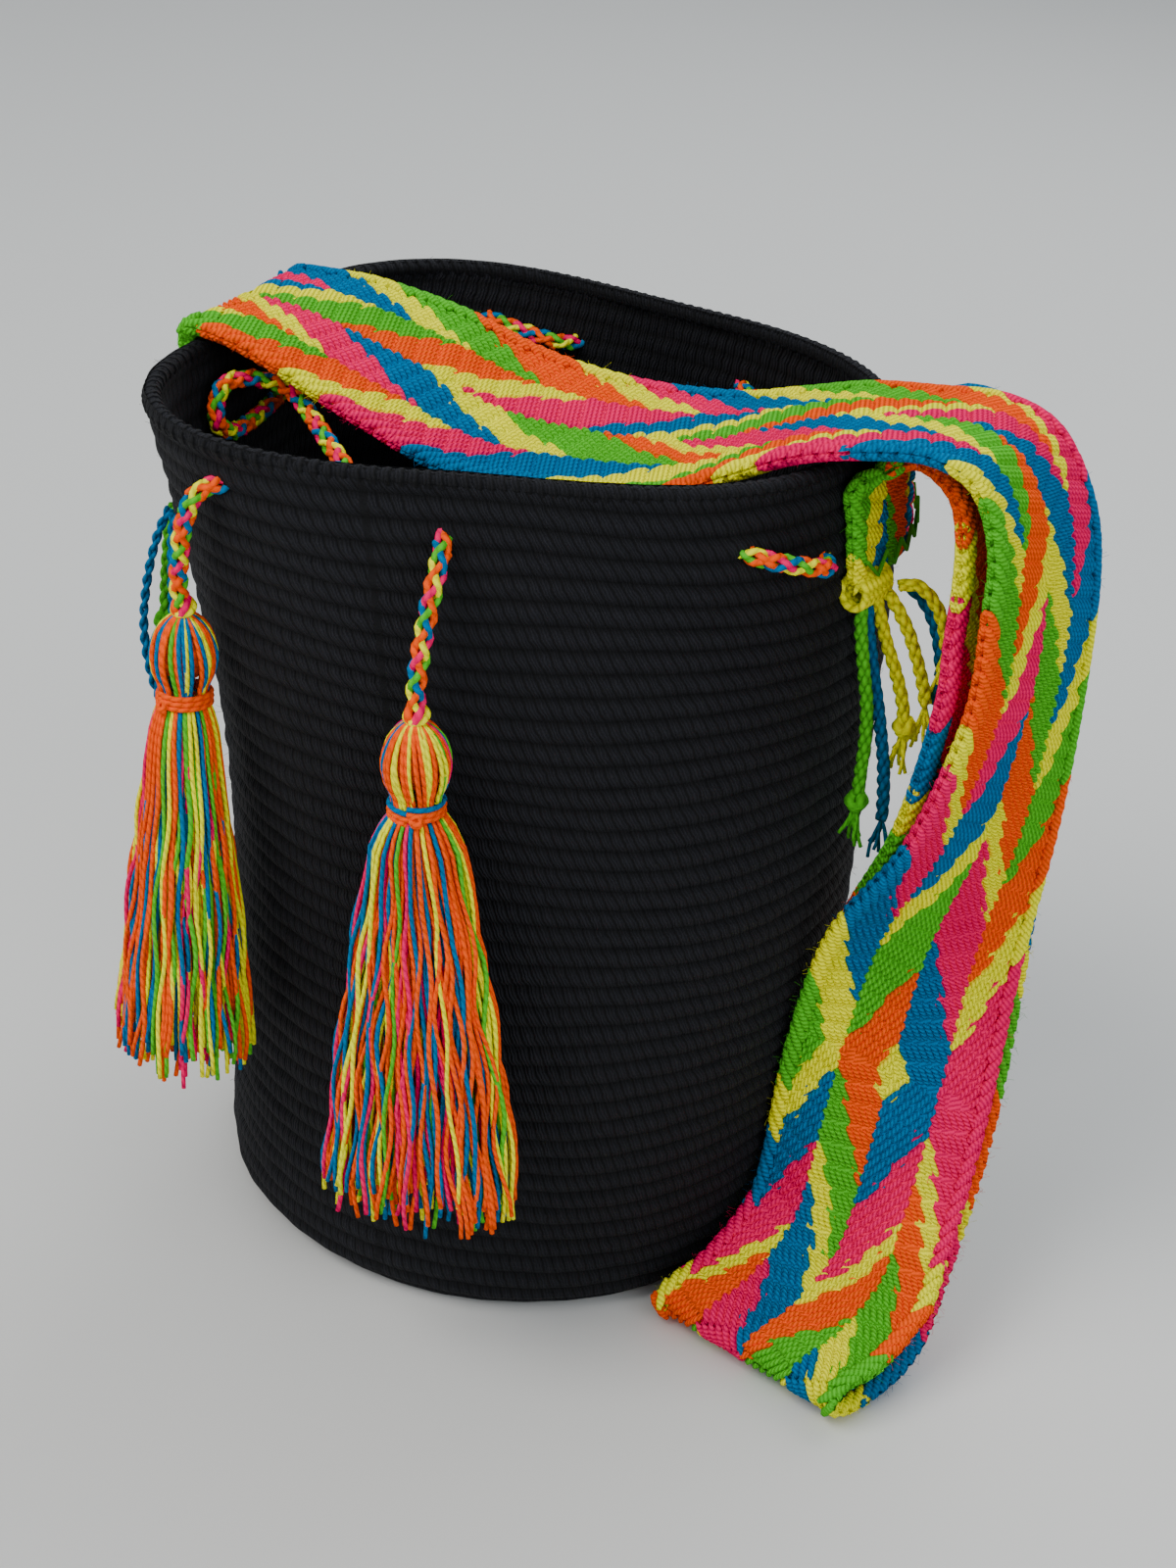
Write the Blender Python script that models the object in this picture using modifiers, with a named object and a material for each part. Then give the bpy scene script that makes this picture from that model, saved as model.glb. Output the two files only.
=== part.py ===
"""A crocheted bucket bag with a woven shoulder strap, a braided drawstring and two tassels.

Metres, +Z up. The origin is the centre of the flat base. The front, where the tassels hang, faces -Y,
and the strap is sewn on at -X and +X. Angles run round the bag from the front towards +X.
"""

import math

import bmesh
import bpy
from mathutils import Matrix, Vector

# Driving dimensions
RIM_HEIGHT = 0.298
WALL = 0.0045
STRAP_WIDTH = 0.075
STRAP_THICKNESS = 0.005
CORD_DIAMETER = 0.007
TIE_DIAMETER = 0.0032
THIN_TIE_DIAMETER = 0.0024
GAP = 0.0004

# The lathe outline of the bag's outer face: radius and height, from the middle of the base to the rim
OUTLINE = (
    (0.0, 0.0),
    (0.040, 0.0),
    (0.0890, 0.0),
    (0.0960, 0.0018),
    (0.1005, 0.0065),
    (0.1022, 0.0140),
    (0.1030, 0.0280),
    (0.1038, 0.0450),
    (0.1048, 0.0650),
    (0.1058, 0.0900),
    (0.1064, 0.1150),
    (0.1068, 0.1400),
    (0.1074, 0.1650),
    (0.1084, 0.1950),
    (0.1100, 0.2250),
    (0.1108, 0.2500),
    (0.1108, 0.2700),
    (0.1105, 0.2850),
    (0.1100, RIM_HEIGHT),
)
BAG_SIDES = 64

# How the soft cloth has settled: the mouth leans and its round has slack lobes, which fade towards the
# base, and the middle of the wall has sagged a little to one side.
MOUTH_LEAN = (-0.0142, -0.0045)
LOBES = ((2, 0.0052, -62.0), (3, 0.0092, -24.0), (4, 0.0050, -40.0))  # waves, height, angle of a crest
WALL_SAG = (0.0046, 0.0020)

# The strap's sewn ends, which follow the wall: the angle of the middle, then distance out and height
# from the cut end upwards
SEWN_RIGHT_ANGLE = 99.5
SEWN_RIGHT = ((0.0036, 0.2580), (0.0036, 0.2690), (0.0038, 0.2800), (0.0044, 0.2905))
SEWN_LEFT_ANGLE = -88.0
SEWN_LEFT = ((0.0030, 0.2400), (0.0030, 0.2550), (0.0030, 0.2700), (0.0031, 0.2860), (0.0034, 0.2980))

# The free strap between them: its middle, and the way across it. It arches off the wall, hangs doubled
# to the ground, comes back up over the arch and lies across the mouth.
STRAP_ROUTE = (
    ((0.1118, 0.0165, 0.2990), (-0.08, 0.99, 0.00)),
    ((0.1195, 0.0160, 0.3032), (-0.05, 1.00, 0.00)),
    ((0.1290, 0.0145, 0.3025), (0.00, 1.00, 0.00)),
    ((0.1378, 0.0125, 0.2970), (0.02, 1.00, 0.00)),
    ((0.1432, 0.0110, 0.2865), (0.05, 1.00, 0.00)),
    ((0.1470, 0.0090, 0.2710), (0.10, 0.99, 0.00)),
    ((0.1502, 0.0060, 0.2530), (0.17, 0.98, 0.00)),
    ((0.1530, 0.0030, 0.2310), (0.23, 0.97, -0.02)),
    ((0.1510, 0.0070, 0.1800), (0.42, 0.90, -0.12)),
    ((0.1443, 0.0099, 0.1273), (0.71, 0.65, -0.29)),
    ((0.1427, -0.0033, 0.0756), (0.87, 0.29, -0.40)),
    ((0.1410, -0.0270, 0.0290), (0.95, -0.24, -0.16)),
    ((0.1390, -0.0420, 0.0110), (0.95, -0.28, -0.06)),
    ((0.1325, -0.0590, 0.0035), (0.96, -0.28, -0.01)),
    ((0.1270, -0.0725, 0.0040), (0.96, -0.28, 0.00)),
    ((0.1245, -0.0790, 0.0090), (0.96, -0.28, 0.00)),
    ((0.1268, -0.0755, 0.0150), (0.96, -0.28, 0.00)),
    ((0.1335, -0.0630, 0.0190), (0.95, -0.29, -0.04)),
    ((0.1392, -0.0465, 0.0270), (0.94, -0.30, -0.10)),
    ((0.1415, -0.0350, 0.0380), (0.94, -0.26, -0.18)),
    ((0.1415, -0.0140, 0.0800), (0.87, 0.29, -0.40)),
    ((0.1450, -0.0030, 0.1310), (0.71, 0.65, -0.29)),
    ((0.1570, -0.0010, 0.1800), (0.42, 0.90, -0.12)),
    ((0.1630, 0.0000, 0.2310), (0.23, 0.97, -0.02)),
    ((0.1620, 0.0000, 0.2650), (0.18, 0.98, 0.00)),
    ((0.1580, 0.0000, 0.2870), (0.10, 0.99, -0.02)),
    ((0.1480, 0.0000, 0.3040), (0.04, 1.00, -0.04)),
    ((0.1320, 0.0000, 0.3100), (0.02, 1.00, -0.05)),
    ((0.1110, 0.0000, 0.3075), (0.01, 1.00, -0.04)),
    ((0.0900, -0.0005, 0.3030), (0.00, 1.00, 0.00)),
    ((0.0690, -0.0010, 0.2945), (-0.02, 1.00, 0.06)),
    ((0.0470, -0.0020, 0.2860), (-0.03, 0.99, 0.13)),
    ((0.0130, -0.0030, 0.2815), (-0.03, 0.98, 0.17)),
    ((-0.0210, -0.0040, 0.2820), (0.00, 0.97, 0.24)),
    ((-0.0530, -0.0060, 0.2915), (0.01, 0.98, 0.22)),
    ((-0.0830, -0.0075, 0.2995), (0.01, 0.99, 0.11)),
    ((-0.0980, -0.0080, 0.3020), (0.01, 1.00, 0.04)),
    ((-0.1080, -0.0085, 0.3026), (0.00, 1.00, 0.01)),
    ((-0.1136, -0.0088, 0.3022), (-0.01, 1.00, 0.00)),
)
STRAP_STEPS_A_SPAN = 3
STRAP_COLUMNS = 5

# The zigzag seam at each sewn end: its thread, stitches, distance in from the edges, and the heights
# above the cut end that it runs between
SEAM_THREAD = 0.0014
SEAM_STITCHES = 12
SEAM_INSET = 0.004
SEAM_RISES = (0.010, 0.004)

# The drawstring from the left tassel to the right one: angle, distance out from the wall's outer
# face, and height. It weaves through the eyelets, and its slack lies inside at the left.
DRAWSTRING_RIGHT_WAY = (
    (-32.0, 0.0120, 0.2368),
    (-31.0, 0.0112, 0.2500),
    (-28.4, 0.0098, 0.2640),
    (-26.2, 0.0076, 0.2760),
    (-24.2, 0.0030, 0.2835),
    (-22.4, -0.0035, 0.2845),
    (-19.0, -0.0098, 0.2810),
    (-8.0, -0.0108, 0.2720),
    (4.0, -0.0105, 0.2660),
    (16.5, -0.0105, 0.2640),
    (29.0, -0.0105, 0.2660),
    (42.0, -0.0105, 0.2710),
    (53.0, -0.0100, 0.2755),
    (58.0, -0.0075, 0.2772),
    (61.0, -0.0010, 0.2772),
    (64.3, 0.0052, 0.2758),
    (69.5, 0.0062, 0.2730),
    (74.0, 0.0052, 0.2705),
    (76.9, -0.0010, 0.2698),
    (80.0, -0.0085, 0.2695),
    (91.0, -0.0105, 0.2695),
    (104.0, -0.0105, 0.2700),
    (116.0, -0.0105, 0.2720),
    (121.5, -0.0078, 0.2732),
    (124.8, -0.0012, 0.2735),
    (128.5, 0.0055, 0.2735),
    (134.0, 0.0062, 0.2735),
    (139.0, 0.0055, 0.2735),
    (142.0, -0.0010, 0.2735),
    (145.5, -0.0085, 0.2735),
    (152.0, -0.0100, 0.2735),
    (157.5, -0.0085, 0.2735),
    (161.0, -0.0010, 0.2735),
    (164.5, 0.0055, 0.2735),
    (178.0, 0.0060, 0.2730),
    (192.0, 0.0055, 0.2735),
    (195.5, -0.0010, 0.2740),
    (199.0, -0.0085, 0.2745),
    (205.0, -0.0100, 0.2760),
    (211.0, -0.0085, 0.2780),
    (214.5, -0.0010, 0.2785),
    (218.0, 0.0055, 0.2785),
    (225.0, 0.0062, 0.2780),
    (231.0, 0.0055, 0.2775),
    (234.5, -0.0010, 0.2775),
    (238.0, -0.0085, 0.2775),
    (246.0, -0.0105, 0.2770),
    (257.0, -0.0105, 0.2760),
    (268.0, -0.0105, 0.2730),
    (279.0, -0.0105, 0.2695),
    (289.0, -0.0105, 0.2680),
    (295.0, -0.0106, 0.2702),
    (298.0, -0.0106, 0.2760),
    (296.5, -0.0108, 0.2825),
)
DRAWSTRING_SLACK = (
    (-0.0997, -0.0425, 0.2866),
    (-0.0925, -0.0340, 0.2862),
    (-0.0850, -0.0322, 0.2845),
    (-0.0750, -0.0375, 0.2818),
    (-0.0630, -0.0470, 0.2785),
    (-0.0490, -0.0585, 0.2750),
    (-0.0330, -0.0715, 0.2725),
    (-0.0140, -0.0840, 0.2740),
)
DRAWSTRING_FRONT_WAY = (
    (5.0, -0.0110, 0.2770),
    (9.0, -0.0065, 0.2795),
    (11.2, 0.0003, 0.2795),
    (11.4, 0.0060, 0.2755),
    (10.2, 0.0095, 0.2660),
    (8.8, 0.0120, 0.2530),
    (7.6, 0.0135, 0.2400),
    (7.2, 0.0140, 0.2275),
)
DRAWSTRING_POINTS = 80

# Tassels: where the head's top hangs (angle, distance out, height), length of the skirt, its half
# width at the hem, how flat it hangs against the bag, and its tips outwards and sideways
TASSELS = {
    "tassel_left": ((-32.0, 0.0120, 0.2364), 0.1290, 0.0255, 0.85, (0.0, 1.4)),
    "tassel_right": ((7.2, 0.0140, 0.2271), 0.1420, 0.0330, 0.50, (2.0, 4.3)),
}
HEAD_HEIGHT = 0.0230
HEAD_RADIUS = 0.0105
NECK_RADIUS = 0.0078
NECK_LENGTH = 0.0085
TASSEL_SIDES = 20
FLATTENS_OVER = 0.030
BINDING_RADIUS = 0.0011
BINDING_TURNS = 2
BINDING_POINTS = 27

# The yarn ends of the strap, left long as twisted cords: diameter, colour and route
STRAP_TIES = {
    "yellow_cord_front": (TIE_DIAMETER, "yellow_yarn", (
        (0.1128, -0.0100, 0.2545), (0.1145, -0.0085, 0.2480), (0.1172, -0.0062, 0.2385),
        (0.1206, -0.0040, 0.2290), (0.1240, -0.0020, 0.2180), (0.1258, -0.0005, 0.2080))),
    "yellow_cord_middle": (TIE_DIAMETER, "yellow_yarn", (
        (0.1155, -0.0065, 0.2545), (0.1188, -0.0042, 0.2490), (0.1228, -0.0018, 0.2410),
        (0.1266, 0.0002, 0.2310), (0.1295, 0.0015, 0.2220), (0.1308, 0.0020, 0.2160))),
    "yellow_cord_back": (TIE_DIAMETER, "yellow_yarn", (
        (0.1180, -0.0025, 0.2555), (0.1222, -0.0008, 0.2565), (0.1264, 0.0010, 0.2540),
        (0.1300, 0.0025, 0.2490), (0.1327, 0.0036, 0.2425), (0.1340, 0.0042, 0.2360))),
    "blue_cord_long": (TIE_DIAMETER, "blue_yarn", (
        (0.1118, -0.0135, 0.2520), (0.1128, -0.0120, 0.2430), (0.1152, -0.0098, 0.2300),
        (0.1188, -0.0072, 0.2130), (0.1215, -0.0050, 0.1980), (0.1228, -0.0030, 0.1850),
        (0.1232, -0.0015, 0.1740))),
    "blue_cord_short": (TIE_DIAMETER, "blue_yarn", (
        (0.1185, 0.0055, 0.2530), (0.1232, 0.0062, 0.2500), (0.1280, 0.0068, 0.2430),
        (0.1312, 0.0072, 0.2340), (0.1330, 0.0074, 0.2250))),
    "green_cord": (TIE_DIAMETER, "green_yarn", (
        (0.1112, -0.0175, 0.2535), (0.1120, -0.0168, 0.2440), (0.1138, -0.0150, 0.2320),
        (0.1160, -0.0128, 0.2180), (0.1168, -0.0118, 0.2050), (0.1167, -0.0112, 0.1930),
        (0.1166, -0.0108, 0.1830))),
    "blue_loop_left": (THIN_TIE_DIAMETER, "blue_yarn", (
        (-0.1205, -0.0454, 0.2385), (-0.1240, -0.0469, 0.2290), (-0.1270, -0.0479, 0.2150),
        (-0.1285, -0.0484, 0.2000), (-0.1280, -0.0482, 0.1870), (-0.1260, -0.0474, 0.1760),
        (-0.1230, -0.0464, 0.1670))),
    "blue_cord_left": (TIE_DIAMETER, "blue_yarn", (
        (-0.1175, -0.0464, 0.2375), (-0.1180, -0.0466, 0.2280), (-0.1180, -0.0466, 0.2160),
        (-0.1175, -0.0466, 0.2050), (-0.1170, -0.0466, 0.1950))),
    "green_cord_left": (TIE_DIAMETER, "green_yarn", (
        (-0.1220, -0.0399, 0.2375), (-0.1235, -0.0404, 0.2290), (-0.1242, -0.0408, 0.2180),
        (-0.1245, -0.0410, 0.2070), (-0.1247, -0.0411, 0.1950))),
}
TIE_POINT_SPACING = 0.0065
TUBE_RESOLUTION = 2

COLOURS = {
    "black_crochet": ((0.012, 0.012, 0.014, 1.0), 0.95),
    "strap_weave": ((0.85, 0.20, 0.10, 1.0), 0.90),
    "braid": ((0.80, 0.45, 0.10, 1.0), 0.90),
    "tassel_yarn": ((0.80, 0.15, 0.25, 1.0), 0.90),
    "orange_yarn": ((1.0, 0.12, 0.01, 1.0), 0.90),
    "yellow_yarn": ((0.80, 0.80, 0.02, 1.0), 0.90),
    "blue_yarn": ((0.01, 0.18, 0.38, 1.0), 0.90),
    "green_yarn": ((0.08, 0.45, 0.05, 1.0), 0.90),
    "seam_thread": ((0.02, 0.02, 0.02, 1.0), 0.90),
}


def material(name):
    """The Principled material of one yarn or cloth."""
    found = bpy.data.materials.get(name)
    if found:
        return found
    colour, roughness = COLOURS[name]
    made = bpy.data.materials.new(name)
    made.use_nodes = True
    shader = made.node_tree.nodes["Principled BSDF"]
    shader.inputs["Base Color"].default_value = colour
    shader.inputs["Roughness"].default_value = roughness
    shader.inputs["Metallic"].default_value = 0.0
    return made


def new_object(name, data, collection, material_name):
    """Links an object with its material into a collection."""
    made = bpy.data.objects.new(name, data)
    data.materials.append(material(material_name))
    collection.objects.link(made)
    return made


def outline_radius(height):
    """Radius of the lathe outline at a height on the wall."""
    wall = [(z, r) for r, z in OUTLINE[3:]]
    for (low, inner), (high, outer) in zip(wall, wall[1:]):
        if height <= high:
            share = max(0.0, (height - low) / (high - low))
            return inner + (outer - inner) * share
    return wall[-1][1]


def mouth_share(height):
    """How much of the mouth's lean and lobes a height has."""
    return (max(0.0, height) / RIM_HEIGHT) ** 3


def lobe(angle):
    """How far the mouth's slack lobes push the rim out at an angle in radians."""
    return sum(high * math.cos(count * (angle - math.radians(crest))) for count, high, crest in LOBES)


def shifts(height):
    """How far the middle of the wall is from the axis at a height, in x and in y."""
    share = mouth_share(height)
    sag = math.sin(math.pi * min(1.0, max(0.0, height) / RIM_HEIGHT))
    return [lean * share + low * sag for lean, low in zip(MOUTH_LEAN, WALL_SAG)]


def wall_point(degrees, outwards, height):
    """A point at a distance out from the wall's outer face."""
    angle = math.radians(degrees)
    x, y = shifts(height)
    reach = outline_radius(height) + lobe(angle) * mouth_share(height) + outwards
    return Vector((reach * math.sin(angle) + x, -reach * math.cos(angle) + y, height))


def slump(mesh):
    """Moves the points of the lathed bag to where the soft cloth has settled."""
    for vertex in mesh.verts:
        radius = math.hypot(vertex.co.x, vertex.co.y)
        if radius < 1e-6:
            continue
        height = vertex.co.z
        x, y = shifts(height)
        grown = 1.0 + lobe(math.atan2(vertex.co.x, -vertex.co.y)) * mouth_share(height) / radius
        vertex.co = (vertex.co.x * grown + x, vertex.co.y * grown + y, height)


def smooth_curve(points, steps):
    """Catmull-Rom points through the given ones, with the same number of steps in each span."""
    rows = [points[0] * 2 - points[1], *points, points[-1] * 2 - points[-2]]
    found = []
    for a, b, c, d in zip(rows, rows[1:], rows[2:], rows[3:]):
        for step in range(steps):
            t = step / steps
            found.append(
                b
                + (c - a) * (t / 2)
                + (a * 2 - b * 5 + c * 4 - d) * (t * t / 2)
                + (b * 3 - a - c * 3 + d) * (t * t * t / 2)
            )
    found.append(points[-1].copy())
    return found


def even_points(points, count):
    """That many points at even spacing along a smooth curve through the given ones."""
    dense = smooth_curve(points, 24)
    ends = [0.0]
    for a, b in zip(dense, dense[1:]):
        ends.append(ends[-1] + (b - a).length)
    found = []
    place = 0
    for index in range(count):
        wanted = ends[-1] * index / (count - 1)
        while place < len(dense) - 2 and ends[place + 1] < wanted:
            place += 1
        share = (wanted - ends[place]) / (ends[place + 1] - ends[place])
        found.append(dense[place].lerp(dense[place + 1], min(1.0, share)))
    return found


def tube_curve(name, points, diameter):
    """A curve with a round section along straight runs between the points."""
    curve = bpy.data.curves.new(name, "CURVE")
    curve.dimensions = "3D"
    curve.bevel_depth = diameter / 2
    curve.bevel_resolution = TUBE_RESOLUTION
    curve.use_fill_caps = True
    spline = curve.splines.new("POLY")
    spline.points.add(len(points) - 1)
    for place, point in zip(spline.points, points):
        place.co = (*point, 1.0)
    return curve


def turned(profile, sides):
    """The work mesh of an outline of radius and height, spun round the axis."""
    work = bmesh.new()
    rows = [work.verts.new((radius, 0.0, height)) for radius, height in profile]
    for a, b in zip(rows, rows[1:]):
        work.edges.new((a, b))
    bmesh.ops.spin(
        work,
        geom=work.verts[:] + work.edges[:],
        axis=(0, 0, 1),
        cent=(0, 0, 0),
        angle=math.tau,
        steps=sides,
        use_merge=True,
    )
    bmesh.ops.remove_doubles(work, verts=work.verts, dist=1e-5)
    bmesh.ops.recalc_face_normals(work, faces=work.faces)
    return work


def drawstring_route():
    """The drawstring's own points, woven round the mouth."""
    right_way = [wall_point(*place) for place in DRAWSTRING_RIGHT_WAY]
    slack = [Vector(place) for place in DRAWSTRING_SLACK]
    front_way = [wall_point(*place) for place in DRAWSTRING_FRONT_WAY]
    return even_points(right_way + slack + front_way, DRAWSTRING_POINTS)


def mesh_of_curve(name, curve):
    """The closed mesh of a curve, made through an object that is then removed."""
    holder = bpy.data.objects.new(name + "_guide", curve)
    bpy.context.scene.collection.objects.link(holder)
    graph = bpy.context.evaluated_depsgraph_get()
    mesh = bpy.data.meshes.new_from_object(holder.evaluated_get(graph))
    bpy.data.objects.remove(holder)
    work = bmesh.new()
    work.from_mesh(mesh)
    bmesh.ops.remove_doubles(work, verts=work.verts, dist=1e-5)
    bmesh.ops.recalc_face_normals(work, faces=work.faces)
    work.to_mesh(mesh)
    work.free()
    mesh.name = name
    return mesh


def make_bag(parts, cutters):
    """The crocheted body: base and wall in one piece, with the eyelets the drawstring passes."""
    mesh = bpy.data.meshes.new("bag_body")
    work = turned(OUTLINE, BAG_SIDES)
    lowest = min(work.faces, key=lambda face: face.calc_center_median().z)
    if lowest.normal.z > 0:
        bmesh.ops.reverse_faces(work, faces=work.faces)
    slump(work)
    work.to_mesh(mesh)
    work.free()
    mesh.shade_smooth()
    bag = new_object("bag_body", mesh, parts, "black_crochet")
    shell = bag.modifiers.new("wall", "SOLIDIFY")
    shell.thickness = WALL
    shell.offset = -1.0

    cutter_curve = tube_curve("eyelets", drawstring_route(), CORD_DIAMETER + 3 * GAP)
    cutter = bpy.data.objects.new("eyelets", mesh_of_curve("eyelets", cutter_curve))
    cutters.objects.link(cutter)
    cutter.hide_render = True
    cutter.display_type = "WIRE"
    holes = bag.modifiers.new("eyelets", "BOOLEAN")
    holes.operation = "DIFFERENCE"
    holes.solver = "EXACT"
    holes.object = cutter


def sewn_points(middle, way, outwards, height):
    """Points across a sewn strap end, which bends round the wall, from the front edge to the back."""
    half = math.degrees(STRAP_WIDTH / 2 / (outline_radius(height) + outwards))
    steps = [2.0 * column / (STRAP_COLUMNS - 1) - 1.0 for column in range(STRAP_COLUMNS)]
    return [wall_point(middle + way * half * step, outwards, height) for step in steps]


def strap_columns():
    """The strap's lengthwise lines from the right end to the left one, front edge first."""
    rows = [sewn_points(SEWN_RIGHT_ANGLE, 1.0, *place) for place in SEWN_RIGHT]
    for middle, across in STRAP_ROUTE:
        side = Vector(across).normalized() * STRAP_WIDTH
        shares = [column / (STRAP_COLUMNS - 1) - 0.5 for column in range(STRAP_COLUMNS)]
        rows.append([Vector(middle) + side * share for share in shares])
    rows += [sewn_points(SEWN_LEFT_ANGLE, -1.0, *place) for place in reversed(SEWN_LEFT)]
    return [smooth_curve(list(line), STRAP_STEPS_A_SPAN) for line in zip(*rows)]


def make_strap(parts):
    """The woven strap: one band that twists along its route."""
    columns = strap_columns()
    mesh = bpy.data.meshes.new("strap")
    work = bmesh.new()
    lines = [[work.verts.new(point) for point in line] for line in columns]
    for line, beside in zip(lines, lines[1:]):
        for a, b, c, d in zip(line, line[1:], beside[1:], beside):
            work.faces.new((a, b, c, d))
    work.to_mesh(mesh)
    work.free()
    mesh.shade_smooth()
    strap = new_object("strap", mesh, parts, "strap_weave")
    shell = strap.modifiers.new("thickness", "SOLIDIFY")
    shell.thickness = STRAP_THICKNESS
    shell.offset = 0.0


def make_strap_seams(parts):
    """A zigzag of thread on the outer face of each sewn strap end."""
    for name, middle, ends in (
        ("strap_seam_right", SEWN_RIGHT_ANGLE, SEWN_RIGHT),
        ("strap_seam_left", SEWN_LEFT_ANGLE, SEWN_LEFT),
    ):
        outwards, height = ends[0]
        outwards += STRAP_THICKNESS / 2 + SEAM_THREAD / 2 + GAP
        half = math.degrees((STRAP_WIDTH / 2 - SEAM_INSET) / outline_radius(height))
        points = []
        for step in range(SEAM_STITCHES + 1):
            degrees = middle + half * (2.0 * step / SEAM_STITCHES - 1.0)
            points.append(wall_point(degrees, outwards, height + SEAM_RISES[step % 2]))
        new_object(name, tube_curve(name, points, SEAM_THREAD), parts, "seam_thread")


def make_drawstring(parts):
    """The braided drawstring, one cord from tassel to tassel."""
    curve = tube_curve("drawstring", drawstring_route(), CORD_DIAMETER)
    new_object("drawstring", curve, parts, "braid")


def make_tassels(parts):
    """Each tassel: a bulb of doubled yarn over its neck, and the skirt, with the binding round it."""
    for name, (place, skirt, hem, flatness, tips) in TASSELS.items():
        profile = (
            (0.0, 0.0),
            (0.0050, -0.0006),
            (0.0085, -0.0045),
            (HEAD_RADIUS, -0.0110),
            (0.0098, -0.0175),
            (NECK_RADIUS, -HEAD_HEIGHT),
            (NECK_RADIUS, -HEAD_HEIGHT - NECK_LENGTH),
            (hem * 0.46, -HEAD_HEIGHT - 2 * NECK_LENGTH),
            (hem * 0.64, -HEAD_HEIGHT - 0.32 * skirt),
            (hem * 0.84, -HEAD_HEIGHT - 0.62 * skirt),
            (hem, -HEAD_HEIGHT - 0.93 * skirt),
            (hem * 0.90, -HEAD_HEIGHT - skirt),
            (0.0, -HEAD_HEIGHT - skirt),
        )
        mesh = bpy.data.meshes.new(name)
        work = turned(profile, TASSEL_SIDES)
        for vertex in work.verts:
            fade = min(1.0, max(0.0, (-HEAD_HEIGHT - NECK_LENGTH - vertex.co.z) / FLATTENS_OVER))
            vertex.co.y *= 1.0 - (1.0 - flatness) * fade
        work.to_mesh(mesh)
        work.free()
        mesh.shade_smooth()
        degrees, outwards, height = place
        turn = Matrix.Rotation(math.radians(degrees), 4, "Z")
        turn @= Matrix.Rotation(math.radians(-tips[0]), 4, "X") @ Matrix.Rotation(math.radians(-tips[1]), 4, "Y")
        top = wall_point(degrees, outwards, height)
        top.z -= GAP
        tassel = new_object(name, mesh, parts, "tassel_yarn")
        tassel.matrix_world = Matrix.Translation(top) @ turn

        radius = NECK_RADIUS + BINDING_RADIUS + GAP
        wraps = []
        for step in range(BINDING_POINTS):
            wound = BINDING_TURNS * step / (BINDING_POINTS - 1)
            around = math.tau * wound
            drop = -HEAD_HEIGHT - NECK_LENGTH / 2 - (2 * BINDING_RADIUS + GAP) * (wound - BINDING_TURNS / 2)
            wraps.append(Vector((radius * math.sin(around), -radius * math.cos(around), drop)))
        binding = new_object(
            name + "_binding",
            tube_curve(name + "_binding", wraps, 2 * BINDING_RADIUS),
            parts,
            "orange_yarn",
        )
        binding.matrix_world = tassel.matrix_world.copy()


def make_strap_ties(parts):
    """The strap's long yarn ends, each one a cord of its own."""
    for name, (diameter, colour, route) in STRAP_TIES.items():
        points = [Vector(place) for place in route]
        length = sum((b - a).length for a, b in zip(points, points[1:]))
        count = max(6, round(length / TIE_POINT_SPACING) + 1)
        new_object(name, tube_curve(name, even_points(points, count), diameter), parts, colour)


def main():
    for leftover in list(bpy.data.objects):
        bpy.data.objects.remove(leftover)
    parts = bpy.data.collections.new("crocheted_bucket_bag")
    cutters = bpy.data.collections.new("cutters")
    bpy.context.scene.collection.children.link(parts)
    bpy.context.scene.collection.children.link(cutters)
    make_bag(parts, cutters)
    make_strap(parts)
    make_strap_seams(parts)
    make_drawstring(parts)
    make_tassels(parts)
    make_strap_ties(parts)


main()
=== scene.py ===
"""The looks of a crocheted bucket bag: crochet, woven strap, braided drawstring, tassels and yarn ends."""

import math
import random

import bpy
from bpy.props import FloatProperty, FloatVectorProperty, IntProperty, PointerProperty
from mathutils import Matrix, Vector


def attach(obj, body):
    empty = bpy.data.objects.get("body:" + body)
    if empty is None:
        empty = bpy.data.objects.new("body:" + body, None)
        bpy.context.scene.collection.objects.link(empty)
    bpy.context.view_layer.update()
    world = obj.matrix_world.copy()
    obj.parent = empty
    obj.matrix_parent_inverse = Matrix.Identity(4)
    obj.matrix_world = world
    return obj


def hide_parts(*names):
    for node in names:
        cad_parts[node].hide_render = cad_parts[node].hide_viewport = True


bl_info = {
    "name": "Crocheted bucket bag",
    "version": (1, 0, 0),
    "blender": (4, 5, 0),
    "location": "View3D > Sidebar > Bag",
    "description": "Builds a crocheted bucket bag with a woven strap, a braided drawstring and tassels",
    "category": "Add Mesh",
}

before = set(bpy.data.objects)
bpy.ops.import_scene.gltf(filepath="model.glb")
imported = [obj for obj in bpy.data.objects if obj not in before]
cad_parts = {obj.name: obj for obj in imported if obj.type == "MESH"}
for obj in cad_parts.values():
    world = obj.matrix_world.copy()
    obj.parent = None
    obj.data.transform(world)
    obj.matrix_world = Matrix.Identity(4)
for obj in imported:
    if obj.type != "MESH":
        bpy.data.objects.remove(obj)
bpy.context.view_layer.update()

# ---------------------------------------------------------------- the bag's shape, as the frame has it

RIM_HEIGHT = 0.298
WALL = 0.0045
STRAP_WIDTH = 0.075
HEAD_HEIGHT = 0.0230
HEAD_RADIUS = 0.0105
NECK_RADIUS = 0.0078
NECK_LENGTH = 0.0085

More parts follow.
